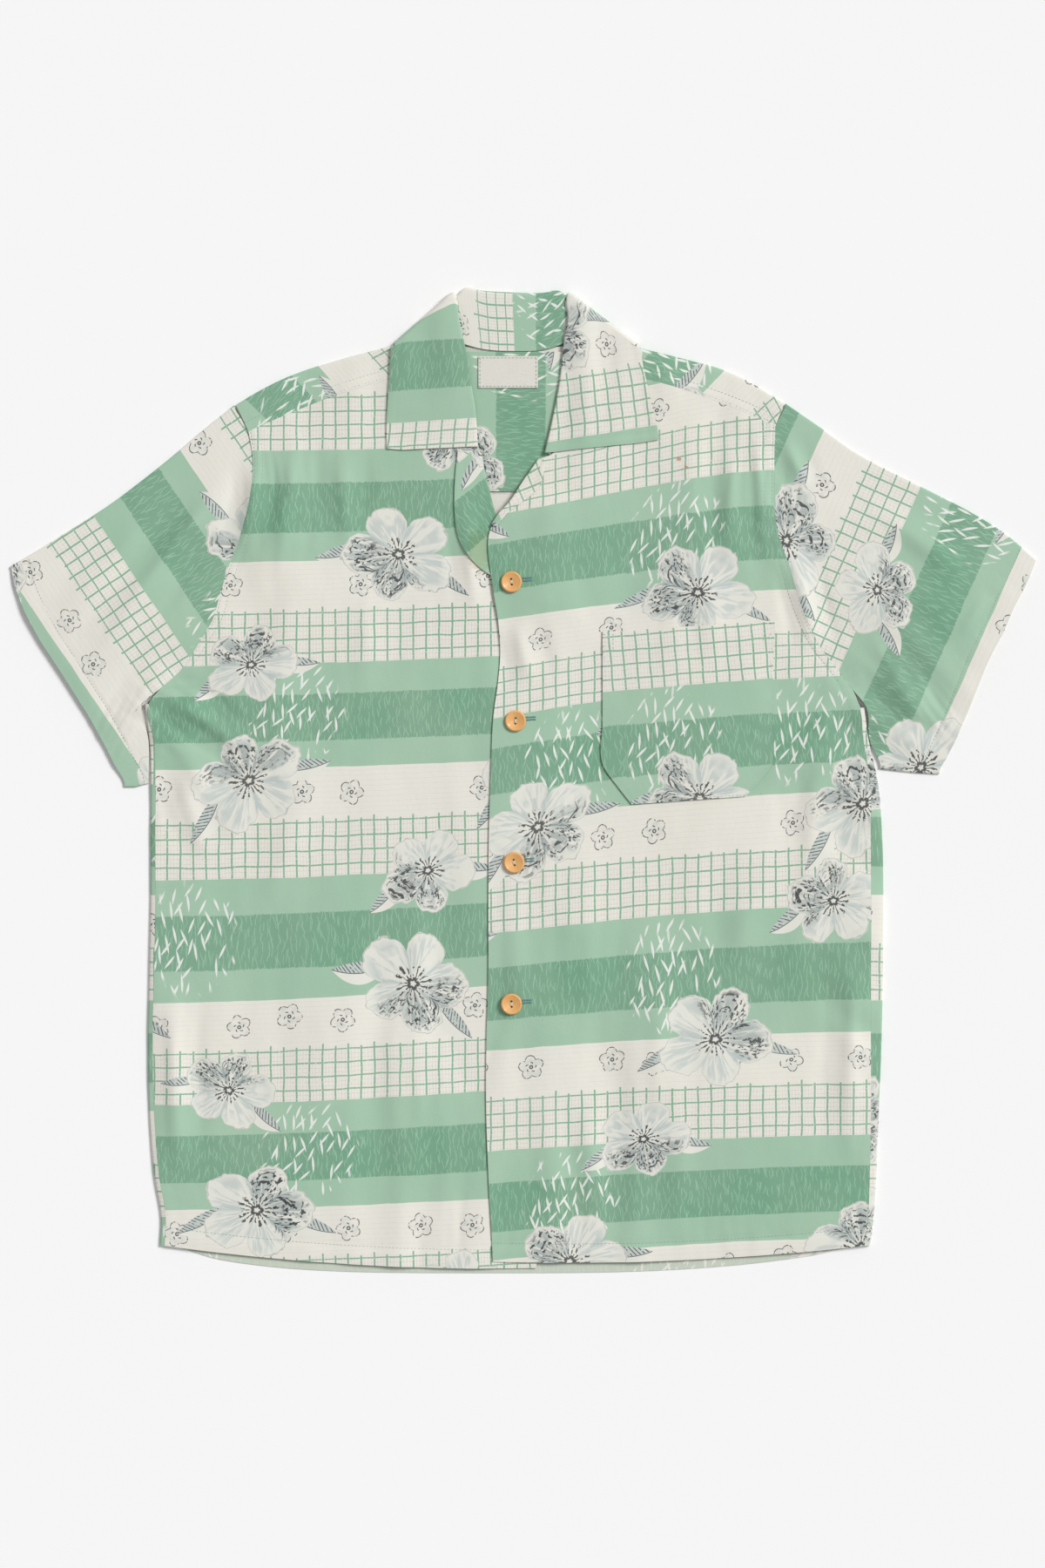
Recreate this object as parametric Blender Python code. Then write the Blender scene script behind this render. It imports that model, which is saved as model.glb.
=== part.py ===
"""A short-sleeved camp-collar shirt, buttoned and laid flat with its front up.

The frame is in metres and +Z is up. The shirt lies on z = 0, its neck points along +Y and the
wearer's left side is at +X. The tables and sizes below are in millimetres. Right and left are
the wearer's. Each cloth piece is a grid over its middle surface, and a Solidify modifier gives
the grid its wall.
"""

import math

import bmesh
import bpy
from mathutils import Vector

MM = 0.001

# One cloth wall, and the air between two walls that lie on each other or meet at a seam.
WALL = 1.05
GAP = 0.35
SEAM_GAP = 0.4
NECK_GAP = 1.3
LAYER = WALL + GAP

# Heights of the middle of a wall: on the floor, and on top of one other layer. Layers that bend
# in their own way need more air than flat ones.
LAYER_AIR = 0.22
FLOOR_MID = WALL / 2
TOP_MID = FLOOR_MID + LAYER + LAYER_AIR

COLUMNS = 14          # grid columns across a front
STRAP_COLUMNS = 8     # grid columns along one shoulder
FOLD_STEPS = 4        # flats that make a folded edge round
LAPEL_COLUMNS = 3

# Where a layer lies under others they rise over it: the yoke and all above it over the collar's
# fall, the fronts over the inner yoke, and the left front over the right front and its lapel.
# Each rise is full inside its box and fades out between flat and foot, measured from the box.
FALL_PILE = {"x": (-98, 86), "y": (304, 372), "flat": 3, "foot": 46}
INNER_YOKE_PILE = {"x": (-57, 42), "y": (140, 325), "flat": 4, "foot": 62}
OVERLAP_PILE = {"x": (-60, 16), "y": (-400, 196), "flat": 1, "foot": 36}
BREAK_PILE = {"x": (-60, 14), "y": (138, 200), "flat": 2, "foot": 36}

# Soft folds of the upper layer: a hill's middle, its heading from +X in degrees, its half
# length and half width, and its height.
SOFT_FOLDS = (
    # name                x     y   heading  half_length  half_width  height
    ("right chest",     -150,  110,    98,       215,         95,      2.4),
    ("left chest",       150,   80,    84,       235,         92,      2.4),
    ("right hem",       -140, -235,    84,       150,         95,      1.8),
    ("left hem",         140, -240,    98,       150,         95,      1.8),
    ("right armhole",   -196,  190,    76,        85,         34,      1.5),
    ("left armhole",     176,  185,   104,        80,         32,      1.5),
    ("right sleeve",    -300,  135,    35,        72,         66,      2.6),
    ("left sleeve",      300,  130,   144,        74,         66,      2.6),
)

# Sides of the body from hem to armpit. The seam is the front's edge; the back is folded round
# the side and comes forward to meet it.
RIGHT_SIDE = (
    # name       seam_x   seam_y  fold_x
    ("hem",      -271.5,  -352,   -274.0),
    ("stitch",   -270.5,  -333,   -273.0),
    ("thigh",    -275.5,  -300,   -278.0),
    ("low hip",  -279.5,  -250,   -282.0),
    ("hip",      -280.5,  -200,   -283.0),
    ("seat",     -279.5,  -148,   -282.0),
    ("waist",    -278.5,   -95,   -281.0),
    ("rib",      -278.5,   -42,   -281.0),
    ("low bust", -278.5,    -3,   -281.0),
    ("bust",     -279.5,    30,   -282.0),
    ("armpit",   -283.5,    58,   -286.0),
)
LEFT_SIDE = (
    # name       seam_x   seam_y  fold_x
    ("hem",       258.0,  -352,    261.5),
    ("stitch",    260.5,  -333,    264.0),
    ("thigh",     262.0,  -300,    266.0),
    ("low hip",   263.0,  -250,    268.0),
    ("hip",       263.0,  -200,    270.0),
    ("seat",      263.0,  -148,    271.0),
    ("waist",     263.0,   -95,    271.5),
    ("rib",       263.0,   -42,    270.5),
    ("low bust",  262.5,    -3,    267.5),
    ("bust",      257.5,    30,    260.5),
    ("armpit",    254.5,    55,    257.0),
)

# Armhole seams of the fronts, from above the armpit to the yoke's front seam.
RIGHT_ARMHOLE = (
    # x      y
    (-274,   70),
    (-259,   84),
    (-246,  103),
    (-235,  122),
    (-230,  139),
    (-222,  165),
    (-215,  183),
    (-209,  203),
    (-205,  226),
    (-205,  247),
    (-208,  264),
)
LEFT_ARMHOLE = (
    # x      y
    (249,    69),
    (238,    84),
    (224,   102),
    (214,   122),
    (207,   142),
    (201,   163),
    (194,   182),
    (190,   204),
    (190,   226),
    (190,   247),
    (191,   268),
)
# Armhole seams of the back, from above the armpit to the yoke's back seam.
RIGHT_BACK_ARMHOLE = ((-267, 78), (-248, 110), (-234, 145), (-226, 181), (-222, 217))
LEFT_BACK_ARMHOLE = ((242, 78), (227, 109), (213, 145), (206, 181), (202, 217))

# Centre edges of the fronts, one row for each row of the side and the armhole, and the rise of
# the row's middle. From the break up, the edge is the lapel's roll, and lapel_x and lapel_y
# are the lapel's free edge. Above the roll it is the neck seam, hidden by the collar.
RIGHT_CENTRE = (
    # name           x       y      rise   lapel_x  lapel_y
    ("hem",         10.0,  -369,   -5.5,    None,    None),
    ("stitch",      10.0,  -348,   -5.0,    None,    None),
    ("low",         10.0,  -312,   -3.0,    None,    None),
    ("button 4",    10.0,  -258,   -1.0,    None,    None),
    ("hip",         10.0,  -205,    0.0,    None,    None),
    ("seat",        10.0,  -150,    0.0,    None,    None),
    ("waist",       10.0,   -95,    0.0,    None,    None),
    ("rib",         10.0,   -40,    0.0,    None,    None),
    ("low bust",    10.0,     5,    0.0,    None,    None),
    ("bust",        10.0,    50,    0.0,    None,    None),
    ("armpit",      10.0,    93,    0.0,    None,    None),
    ("break",        8.0,   124,    0.0,    None,    None),
    ("turn",         4.0,   146,    0.0,     0.5,   142.5),
    ("roll 1",      -3.0,   160,    0.0,   -22.0,   153.5),
    ("roll 2",     -11.0,   175,    0.0,   -36.0,   163.5),
    ("roll 3",     -20.0,   195,    0.0,   -49.0,   184.0),
    ("roll 4",     -25.0,   212,    0.0,   -52.0,   206.0),
    ("roll 5",     -29.5,   231,    0.0,   -51.5,   229.0),
    ("roll top",   -34.0,   249.5,  0.0,   -49.5,   249.0),
    ("notch",      -40.0,   251.5,  0.0,    None,    None),
    ("neck 1",     -47.0,   286,    1.0,    None,    None),
    ("neck 2",     -57.0,   314,    5.5,    None,    None),
)
LEFT_CENTRE = (
    # name           x       y      rise   lapel_x  lapel_y
    ("hem",        -23.0,  -364,   -5.0,    None,    None),
    ("stitch",     -24.0,  -344,   -4.5,    None,    None),
    ("low",        -26.0,  -308,   -3.0,    None,    None),
    ("button 4",   -28.0,  -254,   -1.0,    None,    None),
    ("hip",        -28.0,  -202,    0.0,    None,    None),
    ("seat",       -26.5,  -148,    0.0,    None,    None),
    ("waist",      -26.5,   -95,    0.0,    None,    None),
    ("rib",        -26.0,   -40,    0.0,    None,    None),
    ("low bust",   -24.5,     6,    0.0,    None,    None),
    ("bust",       -22.5,    50,    0.0,    None,    None),
    ("armpit",     -19.0,    76,    0.0,    None,    None),
    ("button 2",   -17.5,    97,    0.0,    None,    None),
    ("wave",       -19.0,   120,    0.0,    None,    None),
    ("button 1",   -23.0,   146,    0.0,    None,    None),
    ("turn",       -23.5,   193,    0.0,   -20.0,   192.0),
    ("roll 1",     -18.5,   201,    0.0,   -11.0,   203.0),
    ("roll 2",     -11.0,   209,    0.0,    -2.0,   209.5),
    ("roll 3",       2.5,   229,    0.0,    11.5,   221.5),
    ("roll top",    12.5,   243,    0.0,    17.0,   239.5),
    ("notch",       21.0,   246.5,  0.0,    None,    None),
    ("neck 1",      32.0,   282,    1.0,    None,    None),
    ("neck 2",      40.0,   313,    7.0,    None,    None),
)

# Shoulder folds, where the yoke turns from the back to the front, from armhole to neck.
RIGHT_SHOULDER = ((-217.2, 283.3), (-198.7, 294.4), (-179, 304.2), (-160, 311.3), (-133, 319.3),
                  (-98, 328), (-71, 335))
LEFT_SHOULDER = ((196.8, 284.5), (183.5, 293.2), (163.7, 304.4), (144, 312.3), (118, 318.9),
                 (100, 323.2), (51, 335))
# Neck seam of the yoke between the shoulders, under the collar's stand.
BACK_NECK = ((-71, 335), (-58, 330), (-40, 328), (-7, 326.5), (25, 328), (41, 330.5), (51, 335))
YOKE_SEAM_Y = 217
BACK_COLUMNS = 12
# How far the back's rows hang below the sides, from the hem up, and how square that curve is on
# the right and on the left half.
HEM_DROP = (-20.8, -15, -7, -2)
HEM_SQUARENESS = {"right": 4, "left": 2.7}
# Where the straight part of a strap and of the yoke's back has its points, as shares of it.
STRAP_SHARES = (0.5, 1)
YOKE_SHARES = (0, 0.25, 0.5, 0.7, 0.85, 1)

# Inner yoke, seen through the neck. Its hidden sides end under the fronts.
INNER_YOKE_COLUMNS = 5
INNER_YOKE = (
    # y     left_x  right_x
    (219,   -38,     16),
    (240,   -42,     22),
    (262,   -47,     32),
    (285,   -50,     37),
    (305,   -50,     36),
    (324.4, -48,     34),
)

# Sleeves: points on the folded top edge from cuff to shoulder, on the cuff from its top to its
# bottom, and on the folded lower edge from cuff to body.
RIGHT_SLEEVE = {
    "top": ((-388.0, 161.2), (-369.5, 171.9), (-343.1, 188.4), (-316.7, 204.9), (-290.3, 224.6),
            (-263.9, 245.7), (-237.6, 268.2), (-218.7, 283.0)),
    "cuff": ((-388.0, 161.2), (-385.0, 146.3), (-376.8, 126.4), (-366.3, 106.6), (-353.1, 86.8),
             (-340.5, 67.0), (-328.0, 47.2), (-317.2, 27.4), (-307.3, 7.6), (-301.8, -3.7)),
    "low": ((-301.8, -3.7), (-294.0, -3.6), (-284.0, -1.0)),
}
LEFT_SLEEVE = {
    "top": ((388.0, 166.0), (382.5, 170.6), (368.2, 182.9), (355.1, 192.8), (328.7, 207.4),
            (302.3, 220.6), (275.9, 233.8), (249.5, 248.3), (223.0, 267.4), (198.4, 284.2)),
    "cuff": ((388.0, 166.0), (381.5, 149.5), (371.0, 129.8), (362.4, 110.0), (351.8, 90.2),
             (343.9, 70.4), (336.0, 50.6), (327.4, 30.8), (317.5, 11.0), (315.0, 6.0)),
    "low": ((315.0, 6.0), (293.0, 7.5), (270.5, 10.0)),
}
SLEEVE_ROWS = 7
FACET_EASE = 0.1          # extra air where a sleeve's flats meet the body's
ARMPIT_EASE = (0.4, 1)    # how far a sleeve stands off the armpit, outwards and up

# Collar sections from the right leaf's short end to the left one, between the roll and the
# outer edge. On a leaf the fall lies over the stand, and the neck edge follows the seam that
# the front and the yoke give it.
RIGHT_LEAF = (
    # roll_x  roll_y  outer_x  outer_y
    (-35.6,   252.5,  -104.5,  249.5),
    (-36.4,   267,    -103.5,  268),
    (-37.8,   283,    -102.5,  286),
    (-40.9,   301,    -101.5,  302),
    (-42.4,   316,    -100.8,  314),
    (-46.2,   332,    -100.0,  322),
    (-49.5,   347,     -99.3,  327.5),
)
LEFT_LEAF = (
    # roll_x  roll_y  outer_x  outer_y
    (17.3,    248,     103.8,  257),
    (21.3,    265,     101.0,  268),
    (25.3,    284,      97.5,  282),
    (28.6,    302,      94.0,  298),
    (30.4,    318,      91.5,  309),
    (32.2,    335,      89.5,  319),
    (34.5,    350,      87.5,  327),
)
# Where the band turns from a leaf to the back of the neck, both of its layers fold round.
RIGHT_TURN = {"neck": (-68, 343), "roll": (-55, 368.5), "outer": (-98.5, 330.5)}
LEFT_TURN = {"neck": (48.5, 343), "roll": (36, 368.5), "outer": (86.5, 330.5)}
# Behind the neck the stand lies over the fall.
BACK_OF_COLLAR = (
    # neck_x  neck_y  roll_x  roll_y  outer_x  outer_y
    (-54,     334,    -45.0,  370.3,  -82,     318),
    (-33,     327,    -31.0,  368.5,  -52,     309),
    (-7,      325,     -9.5,  367.3,   -7,     305),
    (20,      327,     13.5,  366.8,   38,     309),
    (37,      334,     28.0,  368,     68,     317),
)
STAND_COLUMNS = 3
FALL_COLUMNS = 5
TURN_STEPS = 6
TURN_RISE = 0.3       # how much the fall stands up before it turns down
ROLL_RISE = 0.6       # how much the back roll stands over flat layers

# Patch pocket, from its mouth down to its clipped corners.
POCKET = (
    # left_x  left_y  right_x  right_y
    (60.0,   112,    190.0,    121),
    (60.0,    79,    189.0,     84),
    (60.0,    45,    188.0,     47),
    (60.5,    11,    187.0,     10),
    (71.0,    -4,    177.5,     -2),
    (82.0,   -18,    168.0,    -12),
)
POCKET_COLUMNS = 7

LABEL = {"x": (-34, 11), "y": (297, 321), "wall": 0.7, "columns": 4, "rows": 3}

BUTTONS = ((-9, 150), (-6, 45), (-7, -62), (-9, -169))
BUTTON = {
    "radius": 8.0, "height": 2.8, "rim_width": 1.6, "dish": 0.7, "round": 0.7,
    "hole_radius": 1.0, "hole_apart": 4.0, "flats": 24, "hole_flats": 8,
}

# Colours and roughness as the photo shows them.
CLOTH = {"colour": (0.52, 0.68, 0.56, 1), "roughness": 0.8}
COTTON = {"colour": (0.83, 0.80, 0.74, 1), "roughness": 0.85}
WOOD = {"colour": (0.80, 0.50, 0.22, 1), "roughness": 0.4}


# ---------------------------------------------------------------------------- small geometry

def mix(a, b, t):
    return a + (b - a) * t


def mix_points(a, b, t):
    return tuple(mix(p, q, t) for p, q in zip(a, b))


def slope(distance, inner, outer):
    """1 up to inner, 0 from outer on, and a smooth slope between them."""
    t = min(max((outer - distance) / (outer - inner), 0), 1)
    return t * t * (3 - 2 * t)


def along(points, t):
    """The point at the share t of the length of a line through the points."""
    lengths = [math.dist(a, b) for a, b in zip(points, points[1:])]
    rest = t * sum(lengths)
    for a, b, length in zip(points, points[1:], lengths):
        if rest <= length:
            return mix_points(a, b, rest / length)
        rest -= length
    return tuple(points[-1])


def shares(points):
    """How far along their line each of the points is, from 0 to 1."""
    total = 0
    found = [0]
    for a, b in zip(points, points[1:]):
        total += math.dist(a, b)
        found.append(total)
    return [length / total for length in found]


def aside(points, distance):
    """The line through the points, moved to its left by the distance."""
    moved = []
    for i, (x, y) in enumerate(points):
        before = points[max(i - 1, 0)]
        after = points[min(i + 1, len(points) - 1)]
        heading = Vector((after[0] - before[0], after[1] - before[1])).normalized()
        moved.append((x - heading.y * distance, y + heading.x * distance))
    return moved


def folded(low, high, out):
    """The points of a fold's round edge, from the wall's middle at low to that at high."""
    low, high = Vector(low), Vector(high)
    centre = (low + high) / 2
    bulge = Vector((*Vector(out[:2]).normalized(), 0)) * (high - low).length / 2
    points = []
    for step in range(1, FOLD_STEPS):
        angle = math.pi * step / FOLD_STEPS
        points.append(tuple(centre + (low - centre) * math.cos(angle) + bulge * math.sin(angle)))
    return points


# ------------------------------------------------------------------------------- heights

def pile(box, x, y):
    """The height that the layer under a box adds at a point."""
    past_x = max(box["x"][0] - x, x - box["x"][1], 0)
    past_y = max(box["y"][0] - y, y - box["y"][1], 0)
    return (LAYER + LAYER_AIR) * slope(math.hypot(past_x, past_y), box["flat"], box["foot"])


def hill(t):
    return math.cos(math.pi * t / 2) ** 2 if abs(t) < 1 else 0


def soft_folds(x, y):
    total = 0
    for _, middle_x, middle_y, heading, half_length, half_width, height in SOFT_FOLDS:
        angle = math.radians(heading)
        far = (x - middle_x) * math.cos(angle) + (y - middle_y) * math.sin(angle)
        wide = (y - middle_y) * math.cos(angle) - (x - middle_x) * math.sin(angle)
        total += height * hill(far / half_length) * hill(wide / half_width)
    return total


def yoke_back_mid(x, y):
    return FLOOR_MID + pile(FALL_PILE, x, y)


def inner_yoke_mid(x, y):
    return yoke_back_mid(x, y) + LAYER + LAYER_AIR


def top_mid(x, y):
    """The middle of the first layer over the back: right front, yoke front and sleeve tops."""
    return TOP_MID + soft_folds(x, y) + pile(FALL_PILE, x, y) + pile(INNER_YOKE_PILE, x, y)


def left_front_mid(x, y):
    return top_mid(x, y) + pile(OVERLAP_PILE, x, y) + pile(BREAK_PILE, x, y)


def leaf_mid(x, y):
    return top_mid(x, y) + LAYER + LAYER_AIR


# ------------------------------------------------------------------------------ making pieces

def material(name, look):
    made = bpy.data.materials.new(name)
    made.use_nodes = True
    shader = made.node_tree.nodes["Principled BSDF"]
    shader.inputs["Base Color"].default_value = look["colour"]
    shader.inputs["Roughness"].default_value = look["roughness"]
    shader.inputs["Metallic"].default_value = 0
    return made


def place(name, mesh, look):
    piece = bpy.data.objects.new(name, mesh)
    mesh.materials.append(material(name, look))
    bpy.context.scene.collection.objects.link(piece)
    return piece


def sheet(name, rows, look=CLOTH, wall=WALL, ring=False):
    """A cloth piece from rows of points of its middle surface. None marks where it has no cloth."""
    grid = bmesh.new()
    corners = [[None if p is None else grid.verts.new(Vector(p) * MM) for p in row] for row in rows]
    for low, high in zip(corners, corners[1:]):
        count = len(low) if ring else len(low) - 1
        for i in range(count):
            after = (i + 1) % len(low)
            face = [low[i], low[after], high[after], high[i]]
            if None not in face:
                grid.faces.new(face)
    bmesh.ops.recalc_face_normals(grid, faces=grid.faces)
    mesh = bpy.data.meshes.new(name)
    grid.to_mesh(mesh)
    grid.free()
    mesh.shade_smooth()
    piece = place(name, mesh, look)
    cloth = piece.modifiers.new("wall", "SOLIDIFY")
    cloth.thickness = wall * MM
    cloth.offset = 0
    cloth.use_even_offset = True
    return piece


def across(side, centre, rise, columns):
    """Points from a front's side to its centre edge, with the middle raised along y by rise."""
    points = []
    for i in range(columns + 1):
        t = i / columns
        x, y = mix_points(side, centre, t)
        points.append((x, y + rise * 4 * t * (1 - t)))
    return points


# ------------------------------------------------------------------------------ the pieces

def front(name, side, armhole, centre, height):
    """A front from hem to yoke seam, with its facing turned back along the roll as a lapel."""
    edge = [(x, y) for _, x, y, _ in side] + list(armhole)
    lapel_points = FOLD_STEPS - 1 + LAPEL_COLUMNS + 1
    rows = []
    for (side_x, side_y), (_, x, y, rise, lapel_x, lapel_y) in zip(edge, centre, strict=True):
        row = [(*p, height(*p)) for p in across((side_x, side_y), (x, y), rise, COLUMNS)]
        if lapel_x is None:
            row += [None] * lapel_points
        else:
            lapel = [mix_points((x, y), (lapel_x, lapel_y), i / LAPEL_COLUMNS)
                     for i in range(LAPEL_COLUMNS + 1)]
            turned = [(*p, height(*p) + LAYER) for p in lapel]
            row += folded(row[-1], turned[0], (x - lapel_x, y - lapel_y)) + turned
        rows.append(row)
    return sheet(name, rows)


def shoulder_seam(armhole, centre):
    """A yoke's front seam from armhole to neck: the top edge of that side's front."""
    _, x, y, rise, _, _ = centre[-1]
    return across(armhole[-1], (x, y), rise, STRAP_COLUMNS)


def strap(shoulder, seam):
    """The yoke from its back seam over one shoulder to the front, a column for each share of it."""
    columns = []
    for i, seam_point in enumerate(seam):
        fold_point = along(shoulder, i / STRAP_COLUMNS)
        low = (*fold_point, yoke_back_mid(*fold_point))
        high = (*fold_point, top_mid(*fold_point))
        out = (fold_point[0] - seam_point[0], fold_point[1] - seam_point[1])
        front_part = [mix_points(fold_point, seam_point, t) for t in STRAP_SHARES]
        columns.append((fold_point, folded(low, high, out) + [high]
                        + [(*p, top_mid(*p)) for p in front_part]))
    return columns


def yoke():
    right_seam = aside(shoulder_seam(RIGHT_ARMHOLE, RIGHT_CENTRE), SEAM_GAP)
    left_seam = aside(shoulder_seam(LEFT_ARMHOLE, LEFT_CENTRE), -SEAM_GAP)
    right = strap(RIGHT_SHOULDER, right_seam)
    left = strap(LEFT_SHOULDER, left_seam)[::-1]
    neck_steps = 2 * (len(BACK_NECK) - 1)
    neck = [along(BACK_NECK, i / neck_steps) for i in range(1, neck_steps)]
    nothing = [None] * len(right[0][1])
    tops = right + [(p, nothing) for p in neck] + left
    ends = (RIGHT_BACK_ARMHOLE[-1][0], LEFT_BACK_ARMHOLE[-1][0])
    places = shares([top for top, _ in tops])
    columns = []
    for place_share, (top, over) in zip(places, tops):
        bottom = (mix(*ends, place_share), YOKE_SEAM_Y + SEAM_GAP)
        up = [mix_points(bottom, top, t) for t in YOKE_SHARES]
        columns.append([(*p, yoke_back_mid(*p)) for p in up] + over)
    return sheet("yoke", list(zip(*columns)))


def back():
    """The back from hem to yoke seam, folded round both sides up to the armpits."""
    rows = []
    for i, (right, left) in enumerate(zip(RIGHT_SIDE, LEFT_SIDE, strict=True)):
        _, right_x, right_y, right_fold = right
        _, left_x, left_y, left_fold = left
        drop = HEM_DROP[i] if i < len(HEM_DROP) else 0
        low = []
        for j in range(BACK_COLUMNS + 1):
            t = j / BACK_COLUMNS
            x, y = mix_points((right_fold, right_y), (left_fold, left_y), t)
            squareness = HEM_SQUARENESS["right" if t < 0.5 else "left"]
            low.append((x, y + drop * (1 - abs(2 * t - 1) ** squareness), FLOOR_MID))
        right_top = (right_fold, right_y, top_mid(right_fold, right_y))
        left_top = (left_fold, left_y, top_mid(left_fold, left_y))
        right_edge = (right_x - SEAM_GAP, right_y, top_mid(right_x, right_y))
        left_edge = (left_x + SEAM_GAP, left_y, top_mid(left_x, left_y))
        row = [right_edge, right_top] + folded(low[0], right_top, (-1, 0))[::-1] + low
        row += folded(low[-1], left_top, (1, 0)) + [left_top, left_edge]
        rows.append(row)
    turned = [None] * (FOLD_STEPS + 1)
    for right, left in zip(RIGHT_BACK_ARMHOLE, LEFT_BACK_ARMHOLE, strict=True):
        points = [(*mix_points(right, left, j / BACK_COLUMNS), FLOOR_MID)
                  for j in range(BACK_COLUMNS + 1)]
        rows.append(turned + points + turned)
    return sheet("back", rows)


def inner_yoke():
    rows = []
    for y, left_x, right_x in INNER_YOKE:
        points = [(mix(left_x, right_x, i / INNER_YOKE_COLUMNS), y)
                  for i in range(INNER_YOKE_COLUMNS + 1)]
        rows.append([(*p, inner_yoke_mid(*p)) for p in points])
    return sheet("inner_yoke", rows)


def body_side(side, away):
    """The outside of the body's folded side below the armpit, as far as a sleeve covers it."""
    names = ("armpit", "bust", "low bust")
    reach = (TOP_MID - FLOOR_MID) / 2 + WALL / 2 + GAP + FACET_EASE
    rows = {row[0]: row for row in side}
    return [(rows[name][3] + away * reach, rows[name][2]) for name in names]


def sleeve(name, sizes, side, armhole, back_armhole, away):
    """A sleeve as a flattened tube, from the cuff to the armhole seam. away is its side of x."""
    ends = body_side(side, away)
    ends[0] = (ends[0][0] + away * ARMPIT_EASE[0], ends[0][1] + ARMPIT_EASE[1])
    ends[-1] = sizes["low"][-1]
    shoulder = sizes["top"][-1]
    front_seam = aside([shoulder, *armhole[::-1]], away * SEAM_GAP)
    back_seam = aside([shoulder, *back_armhole[::-1]], away * SEAM_GAP)
    top_edge = [shoulder, *front_seam[1:], *ends]
    low_edge = [shoulder, *back_seam[1:], *ends]

    def layer(edge, height, row):
        """The row's points from the top fold to the lower one, blended from the four edges."""
        v = row / SLEEVE_ROWS
        top, low = along(sizes["top"], v), along(sizes["low"], v)
        points = []
        for u, seam in zip(shares(edge), edge):
            cuff = along(sizes["cuff"], u)
            flat = mix_points(mix_points(sizes["cuff"][0], sizes["cuff"][-1], u),
                              mix_points(shoulder, sizes["low"][-1], u), v)
            x, y = (mix(cuff[k], seam[k], v) + mix(top[k], low[k], u) - flat[k] for k in (0, 1))
            points.append((x, y, height(x, y)))
        return points

    rows = []
    for row in range(SLEEVE_ROWS + 1):
        upper = layer(top_edge, top_mid, row)
        lower = layer(low_edge, lambda x, y: FLOOR_MID, row)
        v = row / SLEEVE_ROWS
        cuff_way = Vector(sizes["cuff"][0]) - Vector(sizes["cuff"][-1])
        out_top = cuff_way.normalized() * (1 - v) + Vector((0, 1)) * v
        around = folded(lower[0], upper[0], out_top) + upper
        around += folded(upper[-1], lower[-1], (0, -1)) + lower[::-1]
        rows.append(around)
    return sheet(name, rows, ring=True)


def neck_seam(centre, shoulder, away):
    """The collar's neck edge from notch to shoulder, a gap inside the front and the yoke."""
    points = [(x, y) for name, x, y, *_ in centre if name in ("notch", "neck 1", "neck 2")]
    return aside([*points, shoulder[-1]], away * NECK_GAP)


def section(neck, stand_roll, fall_roll, outer, out, stand_mid=None, fall_mid=None):
    """A row of the band: up the stand, round the roll and down the fall."""
    stand = [mix_points(neck, stand_roll, i / STAND_COLUMNS) for i in range(STAND_COLUMNS + 1)]
    fall = [mix_points(fall_roll, outer, i / FALL_COLUMNS) for i in range(FALL_COLUMNS + 1)]
    if stand_mid:
        stand = [(*p, stand_mid(*p)) for p in stand]
        fall = [(*p, fall_mid(*p)) for p in fall]
    return stand + folded(stand[-1], fall[0], out) + fall


def leaf_rows(leaf, seam, away):
    rows = []
    for i, (roll_x, roll_y, outer_x, outer_y) in enumerate(leaf):
        neck, roll = along(seam, i / len(leaf)), (roll_x, roll_y)
        rows.append(section(neck, roll, roll, (outer_x, outer_y), (-away, 0), top_mid, leaf_mid))
    return rows


def turn_rows(turn, away):
    """The rows that carry the band round the neck's folded side, fall outside and stand inside."""
    way = Vector(turn["roll"]) - Vector(turn["outer"])
    way.normalize()
    outward = Vector((away * abs(way.y), abs(way.x)))
    fall_ends = (leaf_mid(*turn["outer"]) + TURN_RISE, FLOOR_MID)
    stand_ends = (top_mid(*turn["neck"]), inner_yoke_mid(*turn["neck"]))
    fall_radius = (fall_ends[0] - fall_ends[1]) / 2
    stand_radius = (stand_ends[0] - stand_ends[1]) / 2
    rows = []
    for step in range(TURN_STEPS + 1):
        angle = math.pi * step / TURN_STEPS
        down = (1 - math.cos(angle)) / 2
        fall_shift = outward * fall_radius * (math.sin(angle) - 1)
        stand_shift = outward * (stand_radius * math.sin(angle) - LAYER - fall_radius)
        fall_z, stand_z = mix(*fall_ends, down), mix(*stand_ends, down)
        stand = [(*(Vector(turn[end]) + stand_shift), stand_z) for end in ("neck", "roll")]
        fall = [(*(Vector(turn[end]) + fall_shift), fall_z) for end in ("roll", "outer")]
        rows.append(section(*stand, *fall, way))
    return rows


def back_rows():
    rows = []
    for neck_x, neck_y, roll_x, roll_y, outer_x, outer_y in BACK_OF_COLLAR:
        stand_mid = inner_yoke_mid(neck_x, neck_y)
        rows.append(section((neck_x, neck_y, stand_mid), (roll_x, roll_y, stand_mid + ROLL_RISE),
                            (roll_x, roll_y, FLOOR_MID), (outer_x, outer_y, FLOOR_MID), (0, 1)))
    return rows


def collar():
    """The collar as one band, rolled between its stand and its fall."""
    right = neck_seam(RIGHT_CENTRE, RIGHT_SHOULDER, -1)
    left = neck_seam(LEFT_CENTRE, LEFT_SHOULDER, 1)
    rows = leaf_rows(RIGHT_LEAF, right, -1) + turn_rows(RIGHT_TURN, -1) + back_rows()
    rows += (leaf_rows(LEFT_LEAF, left, 1) + turn_rows(LEFT_TURN, 1))[::-1]
    return sheet("collar", rows)


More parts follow.
